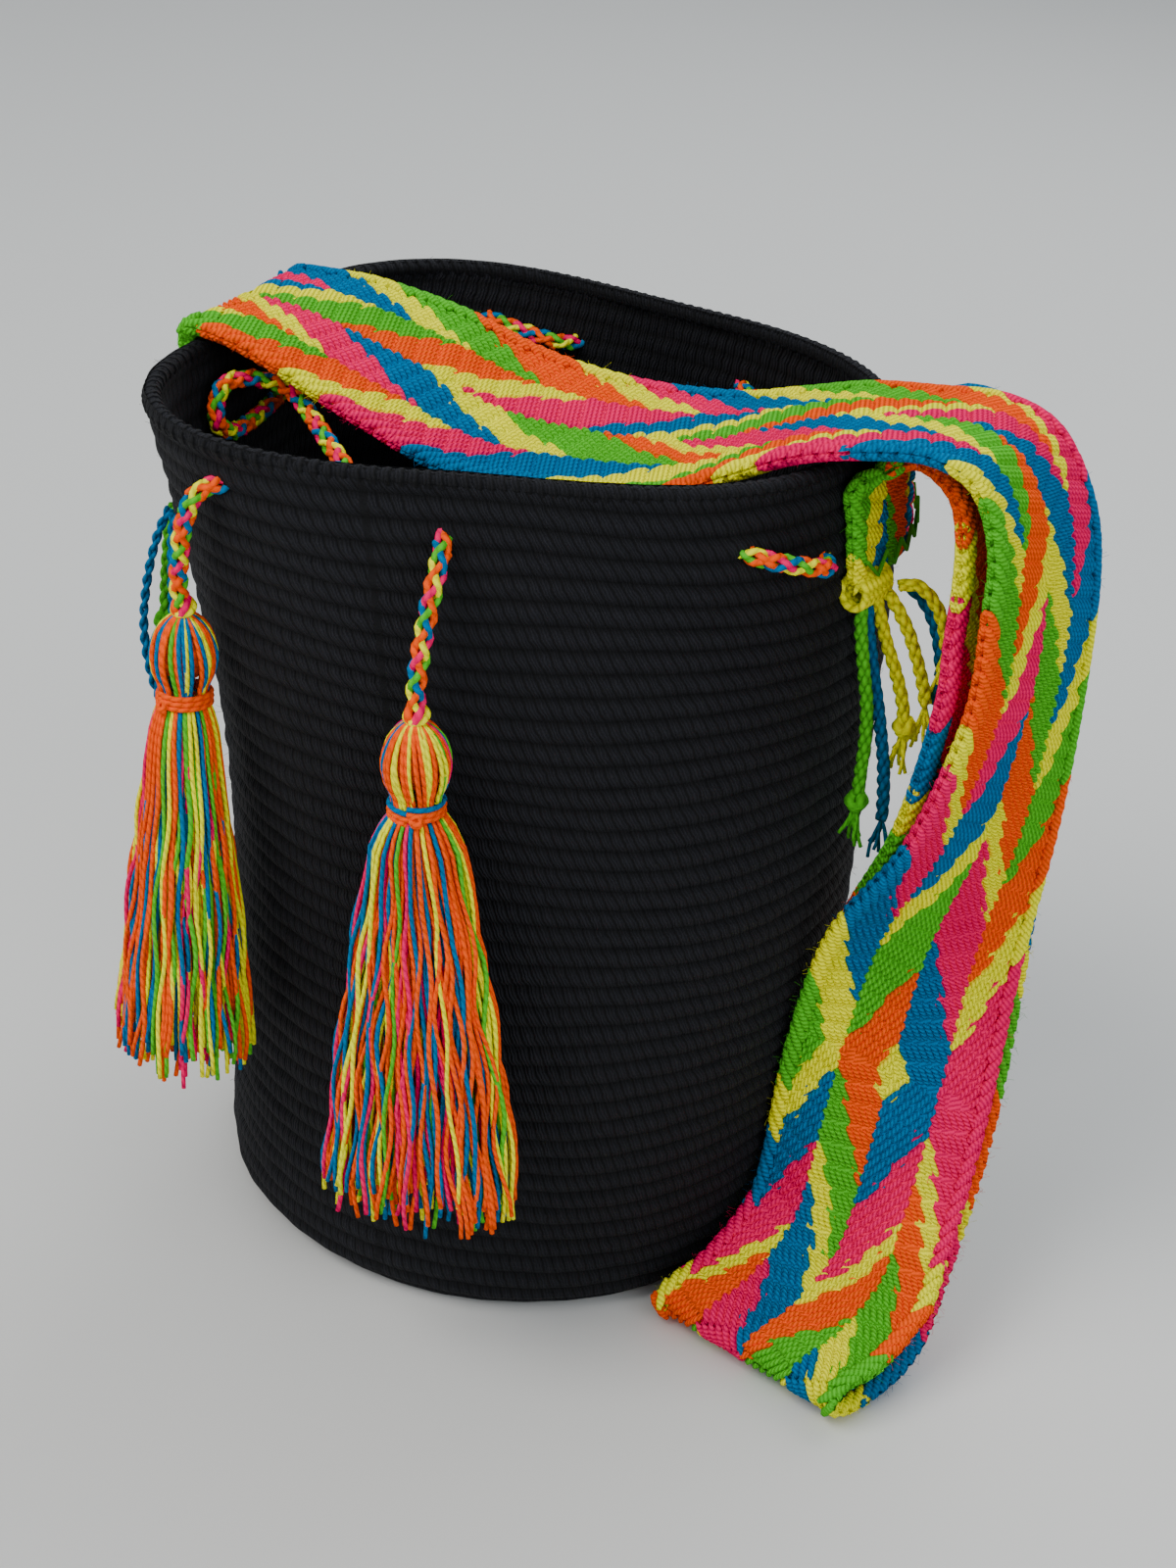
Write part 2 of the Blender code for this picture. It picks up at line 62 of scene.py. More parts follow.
OUTLINE = (
    (0.0, 0.0), (0.040, 0.0), (0.0890, 0.0), (0.0960, 0.0018), (0.1005, 0.0065), (0.1022, 0.0140),
    (0.1030, 0.0280), (0.1038, 0.0450), (0.1048, 0.0650), (0.1058, 0.0900), (0.1064, 0.1150),
    (0.1068, 0.1400), (0.1074, 0.1650), (0.1084, 0.1950), (0.1100, 0.2250), (0.1108, 0.2500),
    (0.1108, 0.2700), (0.1105, 0.2850), (0.1100, RIM_HEIGHT),
)
MOUTH_LEAN = (-0.0142, -0.0045)
LOBES = ((2, 0.0052, -62.0), (3, 0.0092, -24.0), (4, 0.0050, -40.0))
WALL_SAG = (0.0046, 0.0020)

SEWN_RIGHT_ANGLE = 99.5
SEWN_RIGHT = ((0.0036, 0.2580), (0.0036, 0.2690), (0.0038, 0.2800), (0.0044, 0.2905))
SEWN_LEFT_ANGLE = -88.0
SEWN_LEFT = ((0.0030, 0.2400), (0.0030, 0.2550), (0.0030, 0.2700), (0.0031, 0.2860), (0.0034, 0.2980))
STRAP_ROUTE = (
    ((0.1118, 0.0165, 0.2990), (-0.08, 0.99, 0.00)), ((0.1195, 0.0160, 0.3032), (-0.05, 1.00, 0.00)),
    ((0.1290, 0.0145, 0.3025), (0.00, 1.00, 0.00)), ((0.1378, 0.0125, 0.2970), (0.02, 1.00, 0.00)),
    ((0.1432, 0.0110, 0.2865), (0.05, 1.00, 0.00)), ((0.1470, 0.0090, 0.2710), (0.10, 0.99, 0.00)),
    ((0.1502, 0.0060, 0.2530), (0.17, 0.98, 0.00)), ((0.1530, 0.0030, 0.2310), (0.23, 0.97, -0.02)),
    ((0.1510, 0.0070, 0.1800), (0.42, 0.90, -0.12)), ((0.1443, 0.0099, 0.1273), (0.71, 0.65, -0.29)),
    ((0.1427, -0.0033, 0.0756), (0.87, 0.29, -0.40)), ((0.1410, -0.0270, 0.0290), (0.95, -0.24, -0.16)),
    ((0.1390, -0.0420, 0.0110), (0.95, -0.28, -0.06)), ((0.1325, -0.0590, 0.0035), (0.96, -0.28, -0.01)),
    ((0.1270, -0.0725, 0.0040), (0.96, -0.28, 0.00)), ((0.1245, -0.0790, 0.0090), (0.96, -0.28, 0.00)),
    ((0.1268, -0.0755, 0.0150), (0.96, -0.28, 0.00)), ((0.1335, -0.0630, 0.0190), (0.95, -0.29, -0.04)),
    ((0.1392, -0.0465, 0.0270), (0.94, -0.30, -0.10)), ((0.1415, -0.0350, 0.0380), (0.94, -0.26, -0.18)),
    ((0.1415, -0.0140, 0.0800), (0.87, 0.29, -0.40)), ((0.1450, -0.0030, 0.1310), (0.71, 0.65, -0.29)),
    ((0.1570, -0.0010, 0.1800), (0.42, 0.90, -0.12)), ((0.1630, 0.0000, 0.2310), (0.23, 0.97, -0.02)),
    ((0.1620, 0.0000, 0.2650), (0.18, 0.98, 0.00)), ((0.1580, 0.0000, 0.2870), (0.10, 0.99, -0.02)),
    ((0.1480, 0.0000, 0.3040), (0.04, 1.00, -0.04)), ((0.1320, 0.0000, 0.3100), (0.02, 1.00, -0.05)),
    ((0.1110, 0.0000, 0.3075), (0.01, 1.00, -0.04)), ((0.0900, -0.0005, 0.3030), (0.00, 1.00, 0.00)),
    ((0.0690, -0.0010, 0.2945), (-0.02, 1.00, 0.06)), ((0.0470, -0.0020, 0.2860), (-0.03, 0.99, 0.13)),
    ((0.0130, -0.0030, 0.2815), (-0.03, 0.98, 0.17)), ((-0.0210, -0.0040, 0.2820), (0.00, 0.97, 0.24)),
    ((-0.0530, -0.0060, 0.2915), (0.01, 0.98, 0.22)), ((-0.0830, -0.0075, 0.2995), (0.01, 0.99, 0.11)),
    ((-0.0980, -0.0080, 0.3020), (0.01, 1.00, 0.04)), ((-0.1080, -0.0085, 0.3026), (0.00, 1.00, 0.01)),
    ((-0.1136, -0.0088, 0.3022), (-0.01, 1.00, 0.00)),
)
STRAP_COLUMNS = 5

DRAWSTRING_RIGHT_WAY = (
    (-32.0, 0.0120, 0.2368), (-31.0, 0.0112, 0.2500), (-28.4, 0.0098, 0.2640), (-26.2, 0.0076, 0.2760),
    (-24.2, 0.0030, 0.2835), (-22.4, -0.0035, 0.2845), (-19.0, -0.0098, 0.2810), (-8.0, -0.0108, 0.2720),
    (4.0, -0.0105, 0.2660), (16.5, -0.0105, 0.2640), (29.0, -0.0105, 0.2660), (42.0, -0.0105, 0.2710),
    (53.0, -0.0100, 0.2755), (58.0, -0.0075, 0.2772), (61.0, -0.0010, 0.2772), (64.3, 0.0052, 0.2758),
    (69.5, 0.0062, 0.2730), (74.0, 0.0052, 0.2705), (76.9, -0.0010, 0.2698), (80.0, -0.0085, 0.2695),
    (91.0, -0.0105, 0.2695), (104.0, -0.0105, 0.2700), (116.0, -0.0105, 0.2720), (121.5, -0.0078, 0.2732),
    (124.8, -0.0012, 0.2735), (128.5, 0.0055, 0.2735), (134.0, 0.0062, 0.2735), (139.0, 0.0055, 0.2735),
    (142.0, -0.0010, 0.2735), (145.5, -0.0085, 0.2735), (152.0, -0.0100, 0.2735), (157.5, -0.0085, 0.2735),
    (161.0, -0.0010, 0.2735), (164.5, 0.0055, 0.2735), (178.0, 0.0060, 0.2730), (192.0, 0.0055, 0.2735),
    (195.5, -0.0010, 0.2740), (199.0, -0.0085, 0.2745), (205.0, -0.0100, 0.2760), (211.0, -0.0085, 0.2780),
    (214.5, -0.0010, 0.2785), (218.0, 0.0055, 0.2785), (225.0, 0.0062, 0.2780), (231.0, 0.0055, 0.2775),
    (234.5, -0.0010, 0.2775), (238.0, -0.0085, 0.2775), (246.0, -0.0105, 0.2770), (257.0, -0.0105, 0.2760),
    (268.0, -0.0105, 0.2730), (279.0, -0.0105, 0.2695), (289.0, -0.0105, 0.2680), (295.0, -0.0106, 0.2702),
    (298.0, -0.0106, 0.2760), (296.5, -0.0108, 0.2825),
)
DRAWSTRING_SLACK = (
    (-0.0997, -0.0425, 0.2866), (-0.0925, -0.0340, 0.2862), (-0.0850, -0.0322, 0.2845),
    (-0.0750, -0.0375, 0.2818), (-0.0630, -0.0470, 0.2785), (-0.0490, -0.0585, 0.2750),
    (-0.0330, -0.0715, 0.2725), (-0.0140, -0.0840, 0.2740),
)
DRAWSTRING_FRONT_WAY = (
    (5.0, -0.0110, 0.2770), (9.0, -0.0065, 0.2795), (11.2, 0.0003, 0.2795), (11.4, 0.0060, 0.2755),
    (10.2, 0.0095, 0.2660), (8.8, 0.0120, 0.2530), (7.6, 0.0135, 0.2400), (7.2, 0.0140, 0.2275),
)
DRAWSTRING_POINTS = 80

# Tassels: where the head's top hangs (angle, distance out, height), length of the skirt, its half
# width at the hem, how flat it hangs against the bag, and its tips outwards and sideways
TASSELS = {
    "tassel_left": ((-32.0, 0.0120, 0.2364), 0.1290, 0.0255, 0.85, (0.0, 1.4)),
    "tassel_right": ((7.2, 0.0140, 0.2271), 0.1420, 0.0330, 0.50, (2.0, 4.3)),
}
# The share of each colour among a tassel's yarns
TASSEL_MIX = ("orange", "blue", "yellow", "green", "magenta", "orange", "blue", "yellow", "orange")

# The layers of a skirt from the outside in: yarns, and share of the hem's width
SKIRT_LAYERS = ((38, 1.0), (46, 0.96), (54, 0.90), (54, 0.81), (48, 0.68), (36, 0.48))

# The yarn ends of the strap: diameter, colour, what the end is, and route
STRAP_TIES = {
    "yellow_cord_front": (0.0032, "yellow", "knot", (
        (0.1128, -0.0100, 0.2545), (0.1145, -0.0085, 0.2480), (0.1172, -0.0062, 0.2385),
        (0.1206, -0.0040, 0.2290), (0.1240, -0.0020, 0.2180), (0.1258, -0.0005, 0.2080))),
    "yellow_cord_middle": (0.0032, "yellow", "bare", (
        (0.1155, -0.0065, 0.2545), (0.1188, -0.0042, 0.2490), (0.1228, -0.0018, 0.2410),
        (0.1266, 0.0002, 0.2310), (0.1295, 0.0015, 0.2220), (0.1308, 0.0020, 0.2160))),
    "yellow_cord_back": (0.0032, "yellow", "bare", (
        (0.1180, -0.0025, 0.2555), (0.1222, -0.0008, 0.2565), (0.1264, 0.0010, 0.2540),
        (0.1300, 0.0025, 0.2490), (0.1327, 0.0036, 0.2425), (0.1340, 0.0042, 0.2360))),
    "blue_cord_long": (0.0032, "blue", "bare", (
        (0.1118, -0.0135, 0.2520), (0.1128, -0.0120, 0.2430), (0.1152, -0.0098, 0.2300),
        (0.1188, -0.0072, 0.2130), (0.1215, -0.0050, 0.1980), (0.1228, -0.0030, 0.1850),
        (0.1232, -0.0015, 0.1740))),
    "blue_cord_short": (0.0032, "blue", "bare", (
        (0.1185, 0.0055, 0.2530), (0.1232, 0.0062, 0.2500), (0.1280, 0.0068, 0.2430),
        (0.1312, 0.0072, 0.2340), (0.1330, 0.0074, 0.2250))),
    "green_cord": (0.0032, "green", "knot", (
        (0.1112, -0.0175, 0.2535), (0.1120, -0.0168, 0.2440), (0.1138, -0.0150, 0.2320),
        (0.1160, -0.0128, 0.2180), (0.1168, -0.0118, 0.2050), (0.1167, -0.0112, 0.1930),
        (0.1166, -0.0108, 0.1830))),
    "blue_loop_left": (0.0024, "blue", "bare", (
        (-0.1205, -0.0454, 0.2385), (-0.1240, -0.0469, 0.2290), (-0.1270, -0.0479, 0.2150),
        (-0.1285, -0.0484, 0.2000), (-0.1280, -0.0482, 0.1870), (-0.1260, -0.0474, 0.1760),
        (-0.1230, -0.0464, 0.1670))),
    "blue_cord_left": (0.0032, "blue", "bare", (
        (-0.1175, -0.0464, 0.2375), (-0.1180, -0.0466, 0.2280), (-0.1180, -0.0466, 0.2160),
        (-0.1175, -0.0466, 0.2050), (-0.1170, -0.0466, 0.1950))),
    "green_cord_left": (0.0032, "green", "knot", (
        (-0.1220, -0.0399, 0.2375), (-0.1235, -0.0404, 0.2290), (-0.1242, -0.0408, 0.2180),
        (-0.1245, -0.0410, 0.2070), (-0.1247, -0.0411, 0.1950))),
}

# Loose yarn ends are softer and fuller than the frame's plain tubes
TIE_FULLNESS = 1.35

# ---------------------------------------------------------------- how the strap's bands run

YARNS = ("orange", "yellow", "magenta", "blue", "green")
# One repeat of the bands along the strap, with the share of the repeat that each takes
BANDS = (("green", 0.19), ("yellow", 0.12), ("blue", 0.21),
         ("magenta", 0.20), ("yellow", 0.09), ("orange", 0.19))
BAND_MIDDLE = 0.531
BAND_SLOPE = 0.0402
# Half the length and width of the yellow eye at the middle
EYE_LENGTH = 0.0080
EYE_WIDTH = 0.0050
# How far from the middle each stage of the repeat lies, since the weaver's bands vary in length
BANDS_TO_LEFT_END = (
    (0.0, 0.02), (0.026, 0.19), (0.056, 0.31), (0.094, 0.52), (0.129, 0.72), (0.146, 0.81), (0.186, 1.0),
    (0.220, 1.19), (0.236, 1.31), (0.268, 1.52), (0.297, 1.72), (0.309, 1.81), (0.332, 2.0), (0.346, 2.19),
    (0.372, 2.31), (0.415, 2.52), (0.445, 2.72), (0.461, 2.81), (0.489, 3.0), (0.649, 4.0),
)
BANDS_TO_RIGHT_END = (
    (0.0, 0.02), (0.026, 0.19), (0.045, 0.31), (0.072, 0.52), (0.102, 0.72), (0.116, 0.81), (0.147, 1.0),
    (0.292, 1.905), (0.323, 2.095), (0.355, 2.25), (0.373, 2.415), (0.401, 2.62), (0.441, 2.765),
    (0.473, 2.905), (0.510, 3.095), (0.670, 4.095),
)
LANES = 4
LANE_SHIFTS = (0.0, -0.17, 0.30, 0.50)
LANE_SLANTS = (1.0, -1.0, 1.0, -1.0)


def outline_radius(height):
    """Radius of the wall's outline at a height."""
    wall = [(z, r) for r, z in OUTLINE[3:]]
    for (low, inner), (high, outer) in zip(wall, wall[1:]):
        if height <= high:
            share = max(0.0, (height - low) / (high - low))
            return inner + (outer - inner) * share
    return wall[-1][1]


def mouth_share(height):
    """How much of the mouth's lean and lobes a height has."""
    return (max(0.0, height) / RIM_HEIGHT) ** 3


def lobe(angle):
    """How far the mouth's slack lobes push the rim out at an angle in radians."""
    return sum(high * math.cos(count * (angle - math.radians(crest))) for count, high, crest in LOBES)


def shifts(height):
    """How far the middle of the wall is from the axis at a height, in x and in y."""
    share = mouth_share(height)
    sag = math.sin(math.pi * min(1.0, max(0.0, height) / RIM_HEIGHT))
    return [lean * share + low * sag for lean, low in zip(MOUTH_LEAN, WALL_SAG)]


def settled(angle, radius, height):
    """A point of the lathed bag, moved to where the soft cloth has settled."""
    x, y = shifts(height)
    reach = radius + lobe(angle) * mouth_share(height)
    return Vector((reach * math.sin(angle) + x, -reach * math.cos(angle) + y, height))


def wall_point(degrees, outwards, height):
    """A point at a distance out from the wall's outer face."""
    return settled(math.radians(degrees), outline_radius(height) + outwards, height)


def smooth_curve(points, steps):
    """Catmull-Rom points through the given ones, with the same number of steps in each span."""
    rows = [points[0] * 2 - points[1], *points, points[-1] * 2 - points[-2]]
    found = []
    for a, b, c, d in zip(rows, rows[1:], rows[2:], rows[3:]):
        for step in range(steps):
            t = step / steps
            bend = (a * 2 - b * 5 + c * 4 - d) * (t * t / 2) + (b * 3 - a - c * 3 + d) * (t * t * t / 2)
            found.append(b + (c - a) * (t / 2) + bend)
    found.append(points[-1].copy())
    return found


def spread(points, count):
    """That many points at even spacing along straight runs between the given ones."""
    ends = [0.0]
    for a, b in zip(points, points[1:]):
        ends.append(ends[-1] + (b - a).length)
    found = []
    place = 0
    for index in range(count):
        wanted = ends[-1] * index / (count - 1)
        while place < len(points) - 2 and ends[place + 1] < wanted:
            place += 1
        share = (wanted - ends[place]) / (ends[place + 1] - ends[place])
        found.append(points[place].lerp(points[place + 1], min(1.0, share)))
    return found


def length_of(points):
    """Length of the straight runs between points."""
    return sum((b - a).length for a, b in zip(points, points[1:]))


def between(rows, value):
    """The value of a rising list of pairs, read off in straight runs."""
    for (low, first), (high, second) in zip(rows, rows[1:]):
        if value <= high:
            return first + (second - first) * (value - low) / (high - low)
    return rows[-1][1]


def frames_along(points):
    """A turning-free pair of side vectors at each point of a line, with its direction."""
    found = []
    side = None
    last = len(points) - 1
    for index in range(len(points)):
        run = (points[min(index + 1, last)] - points[max(index - 1, 0)]).normalized()
        if side is None:
            side = run.orthogonal().normalized()
        side = (side - run * side.dot(run)).normalized()
        found.append((side, run.cross(side), run))
    return found


class Weave:
    """Gathers the points, faces, surface coordinates and colours of one mesh."""

    def __init__(self):
        self.points = []
        self.faces = []
        self.places = []
        self.slots = []

    def face(self, corners, places, slot=0):
        """One face, with a surface coordinate for each corner."""
        self.faces.append(corners)
        self.places.extend(places)
        self.slots.append(slot)

    def tube(self, line, radius, sides=6, slot=0, taper=0.0):
        """A round yarn along a line, closed at its ends. Its surface runs on in turns of its own width."""
        start = len(self.points)
        along = 0.0
        rings = []
        last = len(line) - 1
        for index, (point, (side, up, _)) in enumerate(zip(line, frames_along(line))):
            if index:
                along += (point - line[index - 1]).length
            thick = radius * (1.0 - taper * (index in (0, last)))
            for step in range(sides):
                angle = math.tau * step / sides
                self.points.append(point + side * (thick * math.cos(angle)) + up * (thick * math.sin(angle)))
            rings.append(along)
        for index in range(last):
            low, high = rings[index], rings[index + 1]
            for step in range(sides):
                a = start + index * sides + step
                b = start + index * sides + (step + 1) % sides
                u, v = step / sides, (step + 1) / sides
                self.face((a, b, b + sides, a + sides), ((low, u), (low, v), (high, v), (high, u)), slot)
        first = tuple(start + step for step in reversed(range(sides)))
        end = tuple(start + last * sides + step for step in range(sides))
        self.face(first, [(0.0, 0.0)] * sides, slot)
        self.face(end, [(along, 0.0)] * sides, slot)

    def grid(self, rows, places, slot=0, closed=False):
        """A smooth patch through rows of points."""
        start = len(self.points)
        wide = len(rows[0])
        for row in rows:
            self.points.extend(row)
        for index in range(len(rows) - 1):
            for step in range(wide if closed else wide - 1):
                a = start + index * wide + step
                b = start + index * wide + (step + 1) % wide
                near, far = places[index], places[index + 1]
                corners = (near[step], near[(step + 1) % len(near)], far[(step + 1) % len(far)], far[step])
                self.face((a, b, b + wide, a + wide), corners, slot)

    def build(self, name, materials):
        """The finished object with its materials. What lies on the ground is pressed flat by it."""
        mesh = bpy.data.meshes.new(name)
        mesh.from_pydata([(x, y, max(0.0, z)) for x, y, z in self.points], [], self.faces)
        layer = mesh.uv_layers.new(name="surface")
        layer.data.foreach_set("uv", [value for place in self.places for value in place])
        mesh.polygons.foreach_set("material_index", self.slots)
        mesh.shade_smooth()
        for made in materials:
            mesh.materials.append(made)
        mesh.update()
        made = bpy.data.objects.new(name, mesh)
        bpy.context.scene.collection.objects.link(made)
        return made


# ---------------------------------------------------------------- finishes

# Where a Mix node of colours takes its share and its two colours, and where it gives their mix
MIX_INPUTS = (0, 6, 7)
MIX_RESULT = 2
# For each use of a yarn: plies a metre, turns of a ply round the yarn, and how dark the painted shade in the
# grooves between plies is
YARN_USES = {"stitch": (620.0, 1.6, 0.34), "strand": (300.0, 1.0, 0.22), "thick": (300.0, 1.0, 0.45)}
# Strength and height of each relief, and how much each finish shines
YARN_RELIEF = (0.75, 0.0006)
YARN_GLOSS = 0.03
CROCHET_RELIEF = (1.0, 0.0017)
CROCHET_GLOSS = 0.25
# How noises are scaled for single fibres, patches of dye and wandering stitches
YARN_FIBRE_SCALE = 1500.0
YARN_PATCH_SCALE = 60.0
CROCHET_FIBRE_SCALE = 1800.0
CROCHET_WOBBLE_SCALE = 220.0


def feed(tree, entry, value):
    """Sets an input to a number or colour, or links a socket to it."""
    if isinstance(value, bpy.types.NodeSocket):
        tree.links.new(value, entry)
    else:
        entry.default_value = value


def maths(tree, operation, *values):
    """The result of a Math node fed by sockets or numbers."""
    node = tree.nodes.new("ShaderNodeMath")
    node.operation = operation
    for entry, value in zip(node.inputs, values):
        feed(tree, entry, value)
    return node.outputs[0]


def ridges(tree, phase, turn=math.pi):
    """A rounded ridge for each half turn of a phase."""
    return maths(tree, "ABSOLUTE", maths(tree, "SINE", maths(tree, "MULTIPLY", phase, turn)))


def blended(tree, share, first, second):
    """Two colours mixed by a share."""
    node = tree.nodes.new("ShaderNodeMix")
    node.data_type = "RGBA"
    for index, value in zip(MIX_INPUTS, (share, first, second)):
        feed(tree, node.inputs[index], value)
    return node.outputs[MIX_RESULT]


def noise(tree, places, scale, detail=2.0):
    """A noise in the object's own space."""
    node = tree.nodes.new("ShaderNodeTexNoise")
    node.inputs["Scale"].default_value = scale
    node.inputs["Detail"].default_value = detail
    tree.links.new(places.outputs["Object"], node.inputs["Vector"])
    return node.outputs["Fac"]


def filled_group(fill, defaults):
    """The node group that a function fills with nodes, made once and named after it."""
    name = fill.__name__
    if name in bpy.data.node_groups:
        return bpy.data.node_groups[name]
    group = bpy.data.node_groups.new(name, "ShaderNodeTree")
    for label, value in defaults.items():
        kind = "NodeSocketFloat" if isinstance(value, float) else "NodeSocketColor"
        made = group.interface.new_socket(name=label, in_out="INPUT", socket_type=kind)
        made.default_value = value
    results = (("Colour", "NodeSocketColor"), ("Height", "NodeSocketFloat"), ("Roughness", "NodeSocketFloat"))
    for label, kind in results:
        group.interface.new_socket(name=label, in_out="OUTPUT", socket_type=kind)
    places = group.nodes.new("ShaderNodeTexCoord")
    split = group.nodes.new("ShaderNodeSeparateXYZ")
    group.links.new(places.outputs["UV"], split.inputs[0])
    given = group.nodes.new("NodeGroupInput").outputs
    put = group.nodes.new("NodeGroupOutput")
    found = fill(group, given, places, split.outputs["X"], split.outputs["Y"])
    for (label, _), value in zip(results, found):
        group.links.new(value, put.inputs[label])
    return group


def spun_yarn(group, given, places, along, across):
    """Plies that wind round a yarn: painted shade in the grooves between them, finer fibres, and the height
    of both.
    """
    plies = maths(group, "MULTIPLY", along, given["Plies a Metre"])
    ply = ridges(group, maths(group, "ADD", plies, maths(group, "MULTIPLY", across, given["Turns"])))
    fibre = noise(group, places, YARN_FIBRE_SCALE, 3.0)
    patch = noise(group, places, YARN_PATCH_SCALE)
    # Painted shade: the colour is darkened in the grooves between plies, then varied by real patches of dye
    # and fibres
    groove_shade = maths(group, "MULTIPLY", maths(group, "SUBTRACT", 1.0, ply), given["Groove Shade"])
    shade = maths(group, "SUBTRACT", 1.0, groove_shade)
    vary = maths(group, "MULTIPLY_ADD", patch, 0.24, 0.88)
    fine = maths(group, "MULTIPLY_ADD", fibre, 0.30, 0.85)
    light = maths(group, "MULTIPLY", maths(group, "MULTIPLY", shade, vary), fine)
    scale = group.nodes.new("ShaderNodeVectorMath")
    scale.operation = "SCALE"
    group.links.new(given["Colour"], scale.inputs[0])
    group.links.new(light, scale.inputs["Scale"])
    height = maths(group, "MULTIPLY_ADD", fibre, 0.35, ply)
    roughness = maths(group, "MULTIPLY_ADD", fibre, 0.10, 0.78)
    return scale.outputs["Vector"], height, roughness


def crochet_stitches(group, given, places, around, rows):
    """Close slanted stitches in rows: painted shade in the gaps and painted light on the stitches' crests,
    loose fibres, and the height of both.
    """
    lean = maths(group, "MULTIPLY", rows, given["Slant"])
    wander = maths(group, "MULTIPLY", noise(group, places, CROCHET_WOBBLE_SCALE), 1.6)
    phase = maths(group, "ADD", maths(group, "ADD", around, lean), wander)
    strand = maths(group, "MULTIPLY", ridges(group, phase), 0.5)
    strand = maths(group, "MULTIPLY_ADD", ridges(group, phase, math.pi / 3.0), 0.75, strand)
    fibre = noise(group, places, CROCHET_FIBRE_SCALE, 4.0)
    lit_mask = maths(group, "MULTIPLY", strand, maths(group, "POWER", ridges(group, rows), 0.8))
    lit_mask = maths(group, "MULTIPLY", lit_mask, maths(group, "MULTIPLY_ADD", fibre, 0.9, 0.45))
    # Painted light and shade: the lit colour shows on the crests of strands and rows, and the shade colour
    # (the Colour input) shows in the gaps between them
    tint = blended(group, lit_mask, given["Colour"], given["Lit Colour"])
    height = maths(group, "MULTIPLY_ADD", fibre, 0.5, strand)
    return tint, height, maths(group, "MULTIPLY_ADD", strand, -0.12, 0.95)


def finish(name, group, values, relief, gloss):
    """A cloth material fed by a node group."""
    made = bpy.data.materials.get(name)
    if made:
        return made
    made = bpy.data.materials.new(name)
    made.use_nodes = True
    tree = made.node_tree
    shader = tree.nodes["Principled BSDF"]
    shader.inputs["Specular IOR Level"].default_value = gloss
    effect = tree.nodes.new("ShaderNodeGroup")
    effect.node_tree = group
    for key, value in values.items():
        effect.inputs[key].default_value = value
    bump = tree.nodes.new("ShaderNodeBump")
    for key, value in zip(("Strength", "Distance"), relief):
        bump.inputs[key].default_value = value
    tree.links.new(effect.outputs["Colour"], shader.inputs["Base Color"])
    tree.links.new(effect.outputs["Roughness"], shader.inputs["Roughness"])
    tree.links.new(effect.outputs["Height"], bump.inputs["Height"])
    tree.links.new(bump.outputs["Normal"], shader.inputs["Normal"])
    return made


def yarn(colour, use):
    """The spun cotton of one colour, with plies at the scale of its use."""
    plies, turns, groove_shade = YARN_USES[use]
    dye = (*getattr(bpy.context.scene.bag_colours, colour), 1.0)
    values = {"Colour": dye, "Plies a Metre": plies, "Turns": turns, "Groove Shade": groove_shade}
    return finish(f"{colour}_{use}", filled_group(spun_yarn, values), values, YARN_RELIEF, YARN_GLOSS)


def yarns(use):
    """One finish for each colour of yarn, in the order of YARNS."""
    return [yarn(colour, use) for colour in YARNS]


def crochet(name, slant):
    """The black crochet, with stitches that slant by so many stitches a row, painted shade in its gaps and
    painted light on its stitches.
    """
    colours = bpy.context.scene.bag_colours
    shade, lit = (*colours.crochet_shade, 1.0), (*colours.crochet_lit, 1.0)
    values = {"Colour": shade, "Lit Colour": lit, "Slant": slant}
    return finish(name, filled_group(crochet_stitches, values), values, CROCHET_RELIEF, CROCHET_GLOSS)


# ---------------------------------------------------------------- settings


def colour_setting(name, value):
    """A colour that can be changed."""
    return FloatVectorProperty(name=name, description=f"Colour of the {name.lower()}", subtype="COLOR",
                               size=3, min=0.0, max=1.0, default=value)


def length_setting(name, description, value, least=0.0):
    """A length in metres that can be changed."""
    return FloatProperty(name=name, description=description, default=value, min=least, unit="LENGTH")


class BagColours(bpy.types.PropertyGroup):
    """Colours of the bag's yarns."""

    crochet_shade: colour_setting("Crochet in Shade", (0.0010, 0.0011, 0.0018))
    crochet_lit: colour_setting("Crochet in Light", (0.0095, 0.0100, 0.0145))
    orange: colour_setting("Orange Yarn", (1.0, 0.095, 0.0))
    yellow: colour_setting("Yellow Yarn", (0.93, 0.91, 0.0))
    magenta: colour_setting("Magenta Yarn", (0.93, 0.0, 0.125))
    blue: colour_setting("Blue Yarn", (0.0, 0.155, 0.36))
    green: colour_setting("Green Yarn", (0.085, 0.50, 0.022))
    floor: colour_setting("Floor", (0.62, 0.62, 0.60))


class BagSizes(bpy.types.PropertyGroup):
    """Sizes of the bag's stitches and yarns."""

    row_pitch: length_setting("Row Pitch", "Height of one round of crochet", 0.0072, 0.003)
    rib_depth: length_setting("Rib Depth", "How far each round of crochet bulges", 0.0014)
    stitches_around: IntProperty(name="Stitches Around", description="Crochet strands in one round",
                                 default=540, min=50)
    stitch_width: length_setting("Strap Stitch Width", "Width of one yarn on the strap", 0.0023, 0.001)
    stitch_length: length_setting("Strap Stitch Length", "Length of one float on the strap", 0.0078, 0.002)
    stitch_lean: FloatProperty(name="Strap Stitch Lean", subtype="ANGLE", default=math.radians(37.0),
                               description="Angle of the floats from the strap's run")
    tassel_yarn: length_setting("Tassel Yarn", "Radius of a tassel's yarn", 0.00076, 0.0002)
    fibres: IntProperty(name="Loose Fibres", description="Fibres on the wall, and as many on the strap",
                        default=1200, min=0)
    skirt_fullness: FloatProperty(name="Skirt Fullness", description="Share of the usual yarns in a skirt",
                                  default=1.0, min=0.1, max=2.0)


# ---------------------------------------------------------------- pieces


